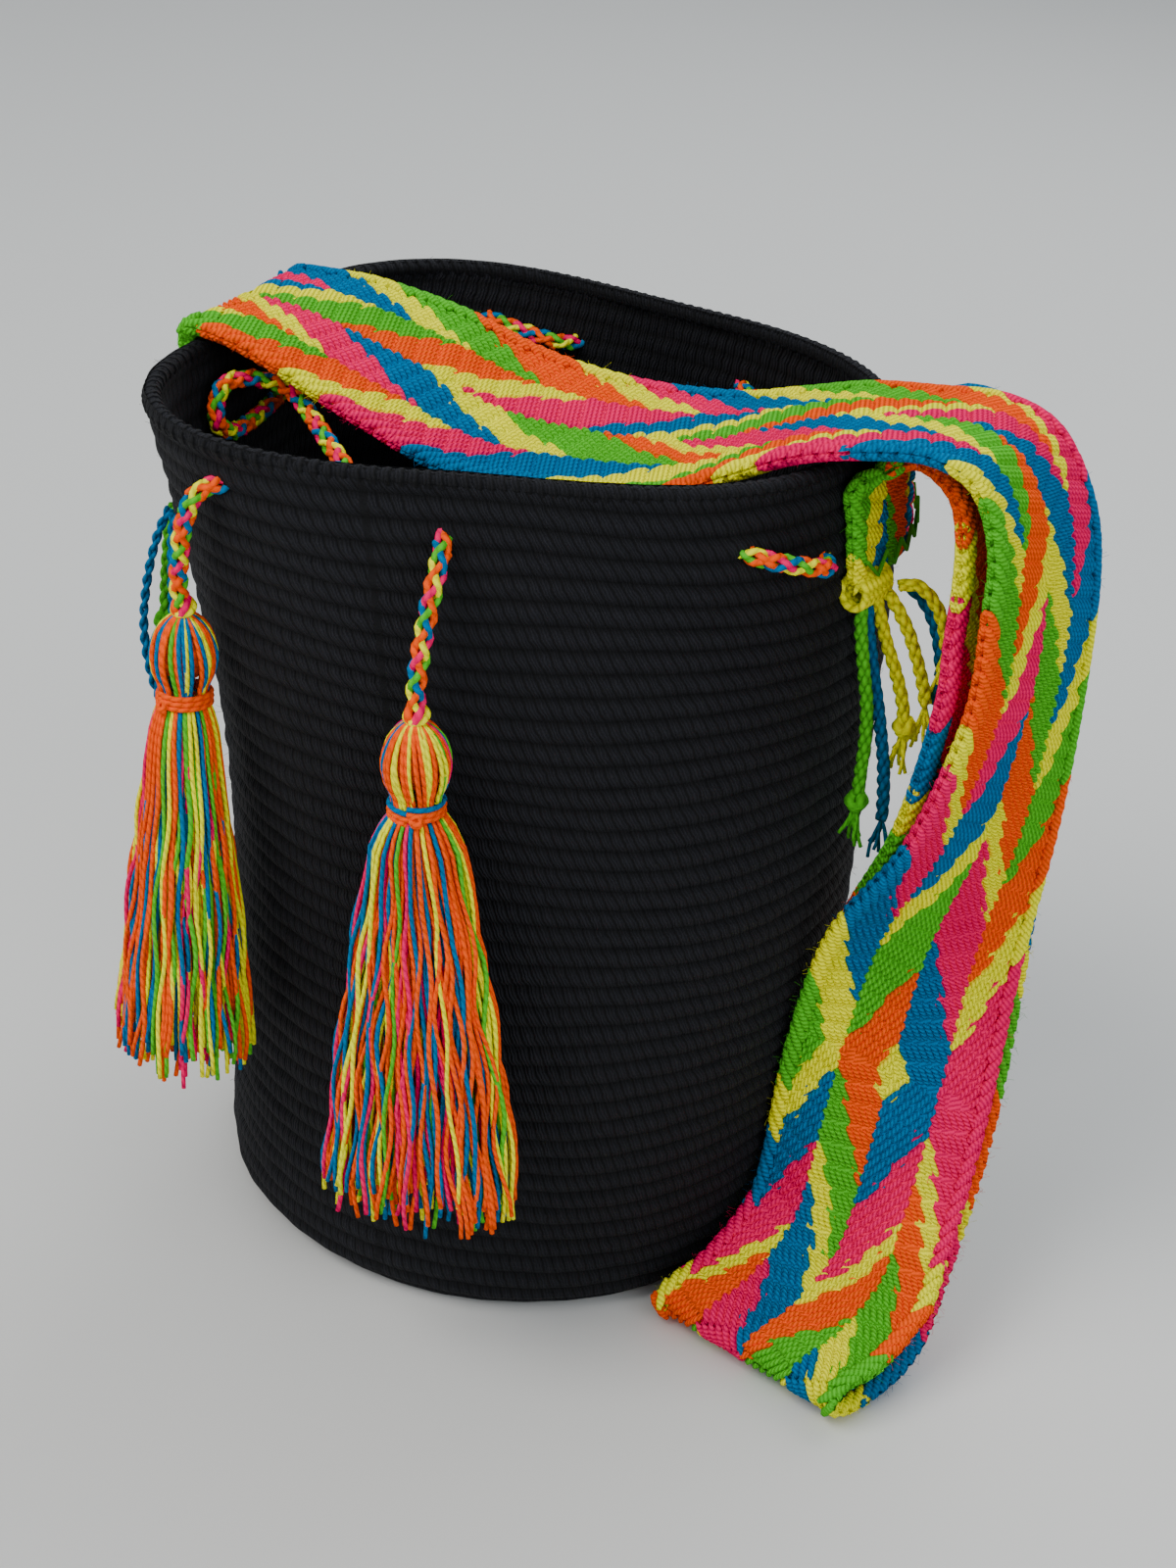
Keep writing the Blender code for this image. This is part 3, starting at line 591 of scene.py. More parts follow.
def placed(piece, slot, *nodes):
    """Fixes a piece to the bag, and hides the frame's nodes that it stands for. The material slot is not
    used.
    """
    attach(piece, "root")
    if nodes:
        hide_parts(*nodes)
    return piece


def wound(points, length, place, *settings):
    """A yarn wound round a line. For a distance along it, place gives the turn and how far out it lies."""
    found = []
    for index, (point, (side, up, _)) in enumerate(zip(points, frames_along(points))):
        turn, out = place(length * index / (len(points) - 1), *settings)
        found.append(point + side * (out * math.cos(turn)) + up * (out * math.sin(turn)))
    return found


def tilted_ring(middle, radius, tilt, spin, steps):
    """Points round a closed ring that is tilted about x and then spun about z."""
    turn = Matrix.Rotation(spin, 3, "Z") @ Matrix.Rotation(tilt, 3, "X")
    angles = [math.tau * step / steps for step in range(steps + 1)]
    return [middle + turn @ Vector((math.cos(angle), math.sin(angle), 0.0)) * radius for angle in angles]


# Points in one ring of the body, and rings in one round of crochet on the outer and the inner face
BODY_POINTS = 300
OUTER_RINGS = 4
INNER_RINGS = 2
# How much of a rib shows on the inner face and under the base, and how rounded it is
INNER_SHARE = 0.55
UNDERSIDE_SHARE = 0.4
RIB_SHARPNESS = 0.8
# The height of a rib's swell, as a share, at which it crosses the frame's outline
OUTLINE_SHARE = 0.75
# Below this height the inner face is drawn in by less than the wall, so that the base's corner stays full
CORNER_HEIGHT = 0.004
CORNER_WALL = 0.002
# What lies lower than this is the underside
UNDERSIDE_HEIGHT = 0.0005
# Unevenness of each round outwards, and its slow rise and fall, which fades towards the base and the rim
UNEVEN = 0.00022
FINE_UNEVEN = 0.00012
FINE_WAVES = 41
FEWEST_WAVES = 9
MOST_WAVES = 23
MIDDLE_RADIUS = 0.01
ROUND_DIP = 0.0010
DIP_WAVES = 5
DIP_DRIFT = 0.35
BASE_FADE = 0.05
RIM_FADE = 0.02


class BAG_OT_body(bpy.types.Operator):
    """Crochets the bag's base and wall in ribbed rounds."""

    bl_idname = "bag.crochet_body"
    bl_label = "Crochet Body"

    def inner_corner(self, radius, height):
        """Where a corner of the outline lies on the inner face."""
        inwards = WALL if height > CORNER_HEIGHT else CORNER_WALL
        return Vector((max(0.0, radius - inwards), max(height, WALL), 0.0))

    def profile(self, outer, pitch, depth, rings):
        """Radius, height and round count along the base and wall, with a rib for each round."""
        corners = [Vector((radius, height, 0.0)) for radius, height in OUTLINE]
        if not outer:
            corners = [self.inner_corner(*corner) for corner in OUTLINE]
            corners = [a for a, b in zip(corners, corners[1:]) if (b - a).length > 1e-5] + [corners[-1]]
        rounds = round(length_of(corners) / pitch)
        line = spread(smooth_curve(corners, 8), rounds * rings + 1)
        found = []
        for index, point in enumerate(line):
            run = (line[min(index + 1, len(line) - 1)] - line[max(index - 1, 0)]).normalized()
            out = Vector((run.y, -run.x, 0.0)) * (1.0 if outer else -1.0)
            swell = abs(math.sin(math.pi * index / rings)) ** RIB_SHARPNESS
            rise = depth * (swell - OUTLINE_SHARE)
            if outer and point.y < UNDERSIDE_HEIGHT:
                rise = min(0.0, rise) * UNDERSIDE_SHARE
            found.append((max(0.0, point.x + out.x * rise), max(0.0, point.y + out.y * rise), index / rings))
        return found

    def ring(self, radius, height, count, phase, waves):
        """One ring of points, as uneven as hand work."""
        row = []
        for step in range(BODY_POINTS):
            angle = math.tau * step / BODY_POINTS
            loose = UNEVEN * math.sin(waves * angle + phase)
            loose += FINE_UNEVEN * math.sin(FINE_WAVES * angle + 3 * phase)
            reach = radius + (loose if radius > MIDDLE_RADIUS else 0.0)
            dip = ROUND_DIP * math.sin(DIP_WAVES * angle + count * DIP_DRIFT) * min(1.0, height / BASE_FADE)
            dip *= min(1.0, (RIM_HEIGHT - height) / RIM_FADE)
            row.append(settled(angle, reach, height + dip))
        return row

    def execute(self, context):
        sizes = context.scene.bag_sizes
        weave = Weave()
        chance = random.Random(7)
        for outer, rings, share in ((True, OUTER_RINGS, 1.0), (False, INNER_RINGS, INNER_SHARE)):
            profile = self.profile(outer, sizes.row_pitch, sizes.rib_depth * share, rings)
            waves = [(chance.uniform(0, math.tau), chance.randint(FEWEST_WAVES, MOST_WAVES))
                     for _ in profile[::rings]]
            rows, places = [], []
            for radius, height, count in profile:
                row = self.ring(radius, height, count, *waves[min(int(count), len(waves) - 1)])
                marks = [(sizes.stitches_around * step / BODY_POINTS, count) for step in range(BODY_POINTS)]
                rows.append(row if outer else row[::-1])
                places.append(marks if outer else marks[::-1])
            weave.grid(rows, places, closed=True)
        placed(weave.build("crocheted_body", [crochet("black_crochet", 2.4)]), "crochet", "bag_body")
        return {"FINISHED"}


RIM_STITCHES = 170
RIM_STEPS = 5
RIM_SIDES = 12
# The edging's middle is this far under the rim, and each stitch swells as it winds round
RIM_DROP = 0.0028
RIM_RADIUS = 0.0025
RIM_SWELL = 0.0007
RIM_LEAN = 0.9


class BAG_OT_rim(bpy.types.Operator):
    """Works the rounded edging along the rim."""

    bl_idname = "bag.rim_edging"
    bl_label = "Rim Edging"

    def execute(self, context):
        weave = Weave()
        rows, places = [], []
        total = RIM_STITCHES * RIM_STEPS
        for index in range(total + 1):
            angle = math.tau * index / total
            middle = settled(angle, OUTLINE[-1][0] - WALL / 2, RIM_HEIGHT - RIM_DROP)
            out = Vector((math.sin(angle), -math.cos(angle), 0.0))
            row, marks = [], []
            for side in range(RIM_SIDES + 1):
                turn = math.tau * side / RIM_SIDES
                swell = math.sin(math.pi * (index / RIM_STEPS + RIM_LEAN * side / RIM_SIDES))
                thick = RIM_RADIUS + RIM_SWELL * abs(swell)
                row.append(middle + out * (thick * math.cos(turn)) + Vector((0, 0, thick * math.sin(turn))))
                marks.append((3.0 * index / RIM_STEPS, 2.0 * side / RIM_SIDES))
            rows.append(row)
            places.append(marks)
        weave.grid(rows, places)
        placed(weave.build("rim_edging", [crochet("black_edging", 1.5)]), "crochet")
        return {"FINISHED"}


# How far to each side the strap's run and slope are measured, in metres along it and as a share across it
REACH_ALONG = 0.003
REACH_ACROSS = 0.1


class StrapSurface:
    """Places on the strap by length from the right end and share of the width from the front edge."""

    def __init__(self):
        rows = [self.sewn(SEWN_RIGHT_ANGLE, 1.0, *place) for place in SEWN_RIGHT]
        for middle, across in STRAP_ROUTE:
            side = Vector(across).normalized() * STRAP_WIDTH
            shares = [column / (STRAP_COLUMNS - 1) - 0.5 for column in range(STRAP_COLUMNS)]
            rows.append([Vector(middle) + side * share for share in shares])
        rows += [self.sewn(SEWN_LEFT_ANGLE, -1.0, *place) for place in reversed(SEWN_LEFT)]
        self.lines = [smooth_curve(list(line), 8) for line in zip(*rows)]
        self.ends = [0.0]
        middle = self.lines[STRAP_COLUMNS // 2]
        for a, b in zip(middle, middle[1:]):
            self.ends.append(self.ends[-1] + (b - a).length)
        self.length = self.ends[-1]

    def sewn(self, middle, way, outwards, height):
        """Points across a sewn end, which bends round the wall."""
        half = math.degrees(STRAP_WIDTH / 2 / (outline_radius(height) + outwards))
        steps = [2.0 * column / (STRAP_COLUMNS - 1) - 1.0 for column in range(STRAP_COLUMNS)]
        return [wall_point(middle + way * half * step, outwards, height) for step in steps]

    def row(self, along):
        """The points across the strap at a length along it."""
        low, high = 0, len(self.ends) - 1
        while high - low > 1:
            half = (low + high) // 2
            low, high = (half, high) if self.ends[half] <= along else (low, half)
        share = (along - self.ends[low]) / (self.ends[high] - self.ends[low])
        return [line[low].lerp(line[high], min(1.0, max(0.0, share))) for line in self.lines]

    def point(self, along, across):
        """The point on the strap's middle surface."""
        row = self.row(along)
        place = min(0.9999, max(0.0, across)) * (len(row) - 1)
        column = int(place)
        return row[column].lerp(row[column + 1], place - column)

    def axes(self, along, across):
        """The point, the way along, the way across and the way out of the outer face."""
        ahead, behind = min(self.length, along + REACH_ALONG), max(0.0, along - REACH_ALONG)
        here = self.point(along, across)
        run = self.point(ahead, across) - self.point(behind, across)
        left, right = max(0.0, across - REACH_ACROSS), min(1.0, across + REACH_ACROSS)
        side = self.point(along, right) - self.point(along, left)
        run.normalize()
        side = (side - run * side.dot(run)).normalized()
        return here, run, side, side.cross(run)


def band_colour(along, across):
    """Which yarn shows at a place on the strap."""
    distance = along - BAND_MIDDLE
    if (distance / EYE_LENGTH) ** 2 + ((across - 0.5) * STRAP_WIDTH / EYE_WIDTH) ** 2 < 1.0:
        return YARNS.index("yellow")
    table = BANDS_TO_LEFT_END if distance > 0 else BANDS_TO_RIGHT_END
    lane = min(LANES - 1, max(0, int(across * LANES)))
    inside = across * LANES - lane
    if lane:
        inside -= 0.5
    place = abs(distance) + LANE_SLANTS[lane] * inside * BAND_SLOPE
    phase = (between(table, max(0.0, place)) + LANE_SHIFTS[lane]) % 1.0
    for name, share in BANDS:
        phase -= share
        if phase <= 0:
            return YARNS.index(name)
    return YARNS.index(BANDS[-1][0])


# The band under the floats: thickness on each side, share of it at the edges, share of the width that it
# leaves free at each edge, cells across and length of one
BAND_HALF = 0.0010
BAND_EDGE_SHARE = 0.35
BAND_INSET = 0.012
BAND_CELLS = 16
BAND_STEP = 0.0045
# Rows of floats beyond each end, the bare stretch at each end, and the short floats where two lanes meet
SPARE_ROWS = 6
BARE_END = 0.003
SHORT_FLOAT = 0.62
SHORT_FLOAT_SHIFT = 0.22
# A float is this much longer and wider than its cell. Its profile along gives shares of its length, width
# and height, and its profile across gives shares of its width and height
FLOAT_LENGTH = 1.22
FLOAT_WIDTH = 1.02
FLOAT_LOW = 0.0006
FLOAT_RISE = 0.0020
FLOAT_ALONG = ((-0.5, 0.35, 0.0), (-0.27, 0.92, 0.80), (0.0, 1.0, 1.0), (0.27, 0.92, 0.80), (0.5, 0.35, 0.0))
FLOAT_ACROSS = ((-0.5, 0.0), (-0.3, 0.75), (0.0, 1.0), (0.3, 0.75), (0.5, 0.0))
# The plaited edge: pitch and radius of its yarns, how far each runs on, its way out and over the edge, and
# how far in from the edge its colour is taken
EDGE_PITCH = 0.0050
EDGE_RADIUS = 0.0016
EDGE_RUN = 0.0098
EDGE_START = -0.0046
EDGE_REACH = 0.0048
EDGE_RISE = 0.0020
EDGE_FALL = 0.0015
EDGE_COLOUR_SHARE = 0.02


class BAG_OT_strap(bpy.types.Operator):
    """Weaves the strap: a band, slanting floats on both faces, and a plaited edge."""

    bl_idname = "bag.woven_strap"
    bl_label = "Woven Strap"

    def execute(self, context):
        sizes = context.scene.bag_sizes
        surface = StrapSurface()
        band = placed(self.band(surface), "strap_weave", "strap")
        stitches = [self.floats("strap_floats_outer", 1.0, surface, sizes),
                    self.floats("strap_floats_inner", -1.0, surface, sizes), self.edges(surface)]
        for piece in stitches:
            placed(piece, "strap_weave")
        return {"FINISHED"}

    def band(self, surface):
        """The strap's body under its floats."""
        weave = Weave()
        count = round(surface.length / BAND_STEP)
        wide = 2 * (BAND_CELLS + 1)
        for index in range(count + 1):
            along = surface.length * index / count
            upper, lower = [], []
            for cell in range(BAND_CELLS + 1):
                share = BAND_INSET + (1.0 - 2.0 * BAND_INSET) * cell / BAND_CELLS
                here, _, _, out = surface.axes(along, share)
                thin = BAND_HALF * (1.0 if 0 < cell < BAND_CELLS else BAND_EDGE_SHARE)
                upper.append(here + out * thin)
                lower.append(here - out * thin)
            weave.points.extend(upper + lower[::-1])
        for index in range(count):
            along = surface.length * (index + 0.5) / count
            marks = ((along, 0.0), (along, 1.0), (along + BAND_STEP, 1.0), (along + BAND_STEP, 0.0))
            for step in range(wide):
                a = index * wide + step
                b = index * wide + (step + 1) % wide
                cell = step if step <= BAND_CELLS else wide - 1 - step
                colour = band_colour(along, min(0.99, (cell + 0.5) / BAND_CELLS))
                weave.face((b, a, a + wide, b + wide), marks, colour)
        first, last = range(wide), range(count * wide, (count + 1) * wide)
        for corners in (tuple(first), tuple(reversed(last))):
            weave.face(corners, [(0.0, 0.0)] * wide, YARNS.index("green"))
        return weave.build("strap_band", yarns("stitch"))

    def floats(self, name, face, surface, sizes):
        """The slanting floats on one face, in lanes that turn round at the middle of the strap."""
        weave = Weave()
        for lane in range(LANES):
            for half in (-1.0, 1.0):
                self.lane(weave, surface, sizes, face, lane, half)
        return weave.build(name, yarns("stitch"))

    def lane(self, weave, surface, sizes, face, lane, half):
        """One lane's floats on one half of the strap. Every second row is shifted by half a float."""
        lane_width = STRAP_WIDTH / LANES
        columns = round(lane_width / (sizes.stitch_length * math.sin(sizes.stitch_lean)))
        step_across = lane_width / columns
        step_along = sizes.stitch_width / math.sin(sizes.stitch_lean)
        lean = sizes.stitch_lean * LANE_SLANTS[lane] * -half
        for index in range(-SPARE_ROWS, int(surface.length / step_along) + SPARE_ROWS + 1):
            odd = index % 2
            for column in range(columns + odd):
                local = (column + 0.5 * (1 - odd)) * step_across
                share = 1.0
                if odd and column in (0, columns):
                    share = SHORT_FLOAT
                    local += step_across * SHORT_FLOAT_SHIFT * (1.0 if column == 0 else -1.0)
                along = index * step_along + local / math.tan(lean)
                on_strap = BARE_END < along < surface.length - BARE_END
                if (along - BAND_MIDDLE) * half < 0 or not on_strap:
                    continue
                dyed = min(lane_width * 0.99, max(0.0, local - 0.5 * odd * step_across))
                colour = band_colour(index * step_along + dyed / math.tan(lean),
                                     (lane_width * lane + dyed) / STRAP_WIDTH)
                across = (lane_width * lane + local) / STRAP_WIDTH
                self.grain(weave, surface.axes(along, across), lean, face, colour, share, sizes)

    def grain(self, weave, axes, lean, face, colour, share, sizes):
        """One yarn float: a raised grain that lies along its slant and tucks in at both ends."""
        here, run, sideways, out = axes
        way = run * math.cos(lean) + sideways * math.sin(lean)
        square = sideways * math.cos(lean) - run * math.sin(lean)
        long = sizes.stitch_length * share * FLOAT_LENGTH
        wide = sizes.stitch_width * FLOAT_WIDTH
        rows, places = [], []
        for t, width, high in FLOAT_ALONG:
            row, marks = [], []
            for column, round_off in FLOAT_ACROSS:
                height = face * (FLOAT_LOW + FLOAT_RISE * high * round_off)
                row.append(here + way * (long * t) + square * (wide * width * column) + out * height)
                marks.append((long * t, column))
            rows.append(row if face > 0 else row[::-1])
            places.append(marks if face > 0 else marks[::-1])
        weave.grid(rows[::-1], places[::-1], colour)

    def edges(self, surface):
        """The plaited yarns along both edges, which cross from each face."""
        weave = Weave()
        count = round(surface.length / EDGE_PITCH)
        for edge, way in ((0.0, -1.0), (1.0, 1.0)):
            for index in range(count):
                along = surface.length * (index + 0.5) / count
                colour = band_colour(along, edge - way * EDGE_COLOUR_SHARE)
                here, run, across, out = surface.axes(along, edge)
                for face in (1.0, -1.0):
                    line = []
                    for t in (0.0, 0.25, 0.5, 0.75, 1.0):
                        point = here + run * (EDGE_RUN * (t - 0.5))
                        point += across * (way * (EDGE_START + EDGE_REACH * t))
                        line.append(point + out * (face * (EDGE_RISE - EDGE_FALL * t * t)))
                    weave.tube(line, EDGE_RADIUS, 6, colour, taper=0.5)
        return weave.build("strap_edges", yarns("stitch"))


class BAG_OT_seams(bpy.types.Operator):
    """Gives the zigzag seams at the strap's ends their thread."""

    bl_idname = "bag.strap_seams"
    bl_label = "Strap Seams"

    def execute(self, context):
        thread = yarn("green", "thick")
        for name in ("strap_seam_right", "strap_seam_left"):
            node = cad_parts[name]
            node.data.materials.clear()
            node.data.materials.append(thread)
        return {"FINISHED"}


# The braid's strands: colour, the way each winds, and its place among those that wind the same way
BRAID_STRANDS = (("orange", 1, 0), ("green", 1, 1), ("magenta", 1, 2),
                 ("yellow", -1, 0), ("blue", -1, 1), ("orange", -1, 2))
BRAID_PITCH = 0.019
BRAID_STEP = 0.0014
BRAID_YARN = 0.00108
# How far out the strands wind, and how much further the one on top lies at each crossing
BRAID_RADIUS = 0.00185
BRAID_CROSSING = 0.00036
KNOT_COLOURS = ("yellow", "orange", "magenta")
KNOT_RADIUS = 0.0030
KNOT_YARN = 0.0013
KNOT_HEIGHT = 0.0028


class BAG_OT_drawstring(bpy.types.Operator):
    """Braids the drawstring from one tassel to the other."""

    bl_idname = "bag.drawstring"
    bl_label = "Drawstring"

    def execute(self, context):
        points = [wall_point(*place) for place in DRAWSTRING_RIGHT_WAY]
        points += [Vector(place) for place in DRAWSTRING_SLACK]
        points += [wall_point(*place) for place in DRAWSTRING_FRONT_WAY]
        route = spread(smooth_curve(points, 24), DRAWSTRING_POINTS)
        length = length_of(route)
        cord = placed(self.braid(route, length), "braid", "drawstring")
        knots = [placed(self.knot("knot_left", route[0]), "braid"),
                 placed(self.knot("knot_right", route[-1]), "braid")]
        return {"FINISHED"}

    def braid(self, route, length):
        """Three strands that wind one way over and under three that wind the other way."""
        weave = Weave()
        fine = spread(smooth_curve(route, 10), round(length / BRAID_STEP))
        for colour, way, which in BRAID_STRANDS:
            line = wound(fine, length, self.strand, way, which)
            weave.tube(line, BRAID_YARN, 6, YARNS.index(colour))
        return weave.build("braided_drawstring", yarns("strand"))

    def strand(self, along, way, which):
        """A strand's turn and distance out, at a distance along the braid."""
        turn = way * math.tau * (along / BRAID_PITCH + which / 3.0)
        over = math.cos(3.0 * math.tau * along / BRAID_PITCH + (0.0 if way > 0 else math.pi))
        return turn, BRAID_RADIUS + BRAID_CROSSING * over

    def knot(self, name, end):
        """A small knot where the braid ends in a tassel."""
        weave = Weave()
        for turn, colour in enumerate(KNOT_COLOURS):
            ring = tilted_ring(end + Vector((0, 0, KNOT_HEIGHT)), KNOT_RADIUS, math.radians(28 + 42 * turn),
                               math.radians(60 * turn), 24)
            weave.tube(ring, KNOT_YARN, 6, YARNS.index(colour))
        return weave.build(name, yarns("strand"))


# The head's yarns: radius and height from the top of the head, how many there are, and how each strays,
# followed by the heights of the core
HEAD_LINE = (
    (0.0016, 0.0012), (0.0050, -0.0002), (0.0085, -0.0042), (HEAD_RADIUS, -0.0110), (0.0098, -0.0175),
    (NECK_RADIUS, -HEAD_HEIGHT), (NECK_RADIUS - 0.0004, -HEAD_HEIGHT - NECK_LENGTH),
)
HEAD_YARNS = 44
HEAD_SWAY = 0.12
HEAD_TWIST = 0.05
HEAD_UNEVEN = 0.0003
HEAD_CORE = (-0.0035, -0.0090, -0.0185)
# The skirt's half width, as a share of the hem's, at shares of its length
SKIRT_WIDTHS = ((0.07, 0.44), (0.32, 0.64), (0.62, 0.84), (0.93, 1.0), (1.05, 1.02))
SKIRT_STEPS = 22
# How a skirt's yarns differ: sway, size of their curl, share of the length, and share of the thickness
SKIRT_SWAY = 0.12
CURL_SIZES = (0.0006, 0.0018)
SKIRT_LENGTHS = (0.92, 1.03)
SKIRT_THICKNESSES = (0.88, 1.06)
# How fast the layers open and the skirt turns flat below the neck. Both are done where a share of the
# length times its rate is 1
OPENING_RATE = 2.2
FLATTENING_RATE = 4.0
# The binding's turns and their yarns, and the small loops tied in front of it
BINDING_TURNS = 2.0
BINDING_STEPS = 52
BINDING_PITCH = 0.0017
BINDING_YARN = 0.00092
SECOND_YARN = 0.00085
SECOND_POINTS = 27
LOOP_TILTS = (0.3, 1.4)
LOOP_STEPS = 14
LOOP_YARN = 0.0008


class BAG_OT_tassels(bpy.types.Operator):
    """Ties both tassels: yarn over the head, a binding and a loose skirt."""

    bl_idname = "bag.tassels"
    bl_label = "Tassels"

    def execute(self, context):
        sizes = context.scene.bag_sizes
        for name, (place, skirt, hem, flatness, tips) in TASSELS.items():
            turn = Matrix.Rotation(math.radians(place[0]), 4, "Z")
            turn @= Matrix.Rotation(math.radians(-tips[0]), 4, "X")
            turn @= Matrix.Rotation(math.radians(-tips[1]), 4, "Y")
            top = Matrix.Translation(wall_point(*place)) @ turn
            chance = random.Random(len(name) * 11)
            weave = Weave()
            self.head(weave, top, chance, sizes)
            self.skirt(weave, top, skirt, hem, flatness, chance, sizes)
            placed(weave.build(name + "_yarns", yarns("strand")), "tassel_yarn", name)
            placed(self.binding(name, top), "orange_yarn", name + "_binding")
        return {"FINISHED"}

    def head(self, weave, top, chance, sizes):
        """The yarns laid over the head and gathered at the neck, round a plain core."""
        thick = sizes.tassel_yarn
        for index in range(HEAD_YARNS):
            angle = math.tau * (index + chance.uniform(-0.25, 0.25)) / HEAD_YARNS
            sway = chance.uniform(-HEAD_SWAY, HEAD_SWAY)
            line = []
            for step, (radius, height) in enumerate(HEAD_LINE):
                spun = angle + sway * step / 3 + HEAD_TWIST * step
                reach = radius - thick * 0.8 + chance.uniform(-HEAD_UNEVEN, HEAD_UNEVEN)
                line.append(top @ Vector((reach * math.sin(spun), -reach * math.cos(spun), height)))
            weave.tube(smooth_curve(line, 3), thick, 5, YARNS.index(chance.choice(TASSEL_MIX)))
        core = [top @ Vector((0.0, 0.0, height)) for height in HEAD_CORE]
        weave.tube(core, HEAD_RADIUS - 2.6 * thick, 12, YARNS.index("orange"), taper=0.35)

    def skirt(self, weave, top, skirt, hem, flatness, chance, sizes):
        """The skirt's yarns in layers, packed at the neck and spread out towards the hem."""
        thick = sizes.tassel_yarn
        neck = HEAD_HEIGHT + NECK_LENGTH * 0.5
        widths = [(0.0, NECK_RADIUS), *((place, hem * share) for place, share in SKIRT_WIDTHS)]
        for layer, (usual, share) in enumerate(SKIRT_LAYERS):
            count = round(usual * sizes.skirt_fullness)
            packed = (NECK_RADIUS - 1.4 * thick * layer) / NECK_RADIUS
            for index in range(count):
                angle = math.tau * (index + chance.uniform(-0.2, 0.2) + 0.5 * layer) / count
                sway = chance.uniform(-SKIRT_SWAY, SKIRT_SWAY)
                wave = chance.uniform(0, math.tau)
                size = chance.uniform(*CURL_SIZES)
                short = chance.uniform(*SKIRT_LENGTHS)
                line = []
                for step in range(SKIRT_STEPS + 1):
                    t = step / SKIRT_STEPS * short
                    open_share = packed + (share - packed) * min(1.0, t * OPENING_RATE)
                    reach = between(widths, t) * open_share - thick
                    spun = angle + sway * t * t
                    flat = 1.0 - (1.0 - flatness) * min(1.0, t * FLATTENING_RATE)
                    curl = size * min(1.0, 3 * t)
                    x = reach * math.sin(spun) + curl * math.sin(wave + 19 * t)
                    y = -reach * math.cos(spun) * flat + curl * 0.5 * math.cos(wave * 2 + 13 * t)
                    line.append(top @ Vector((x, y, -neck - (HEAD_HEIGHT + skirt - neck) * t)))
                radius = thick * chance.uniform(*SKIRT_THICKNESSES)
                weave.tube(line, radius, 5, YARNS.index(chance.choice(TASSEL_MIX)))

    def binding(self, name, top):
        """Turns of yarn round the neck, with two small loops tied in front."""
        weave = Weave()
        middle = -HEAD_HEIGHT - NECK_LENGTH / 2
        line = []
        for step in range(BINDING_STEPS + 1):
            turn = BINDING_TURNS * math.tau * step / BINDING_STEPS
            reach = NECK_RADIUS + 0.0004 + 0.00025 * math.sin(3 * turn)
            height = middle - BINDING_PITCH * (step / BINDING_STEPS - 0.5) * BINDING_TURNS
            line.append(top @ Vector((reach * math.sin(turn), -reach * math.cos(turn), height)))
        weave.tube(line, BINDING_YARN, 6, YARNS.index("orange"))
        raised = top.to_3x3() @ Vector((0, 0, BINDING_PITCH))
        second = [point + raised for point in line[:SECOND_POINTS]]
        weave.tube(second, SECOND_YARN, 6, YARNS.index("blue" if name.endswith("right") else "orange"))
        for tilt in LOOP_TILTS:
            ring = []
            for step in range(LOOP_STEPS + 1):
                turn = math.tau * step / LOOP_STEPS
                x = 0.0030 + 0.0016 * math.cos(turn)
                y = -NECK_RADIUS - 0.0010 + 0.0012 * math.sin(turn) * math.sin(tilt)
                z = middle + 0.0016 * math.sin(turn) * math.cos(tilt)
                ring.append(top @ Vector((x, y, z)))
            weave.tube(ring, LOOP_YARN, 6, YARNS.index("orange"))
        return weave.build(name + "_wraps", yarns("strand"))


# A yarn end's plies: step of its mesh, and pitch, radius and distance out in diameters
TIE_STEP = 0.0011
TIE_PITCH = 3.4
PLY_RADIUS = 0.27
PLY_DISTANCE = 0.26
THICK_TIE = 0.004
# The knot and the fringe at a yarn end, in diameters and metres
TIE_KNOT_RADIUS = 0.62
TIE_KNOT_YARN = 0.34
FRINGE_YARNS = 9
FRINGE_YARN = 0.15
FRINGE_STEPS = 6
FRINGE_LENGTH = (0.008, 0.016)
FRINGE_BOW = 0.0008
# Turns of yarn at the corner: how many, degrees from the strap's edge and between them, and their size
WRAPS = 7
WRAP_INSET = 1.0
WRAP_PITCH = 1.25
WRAP_SLANT = 0.5
WRAP_DEPTH = 0.0042
WRAP_HEIGHT = 0.0050
WRAP_DROP = 0.0005
WRAP_YARN = 0.00125


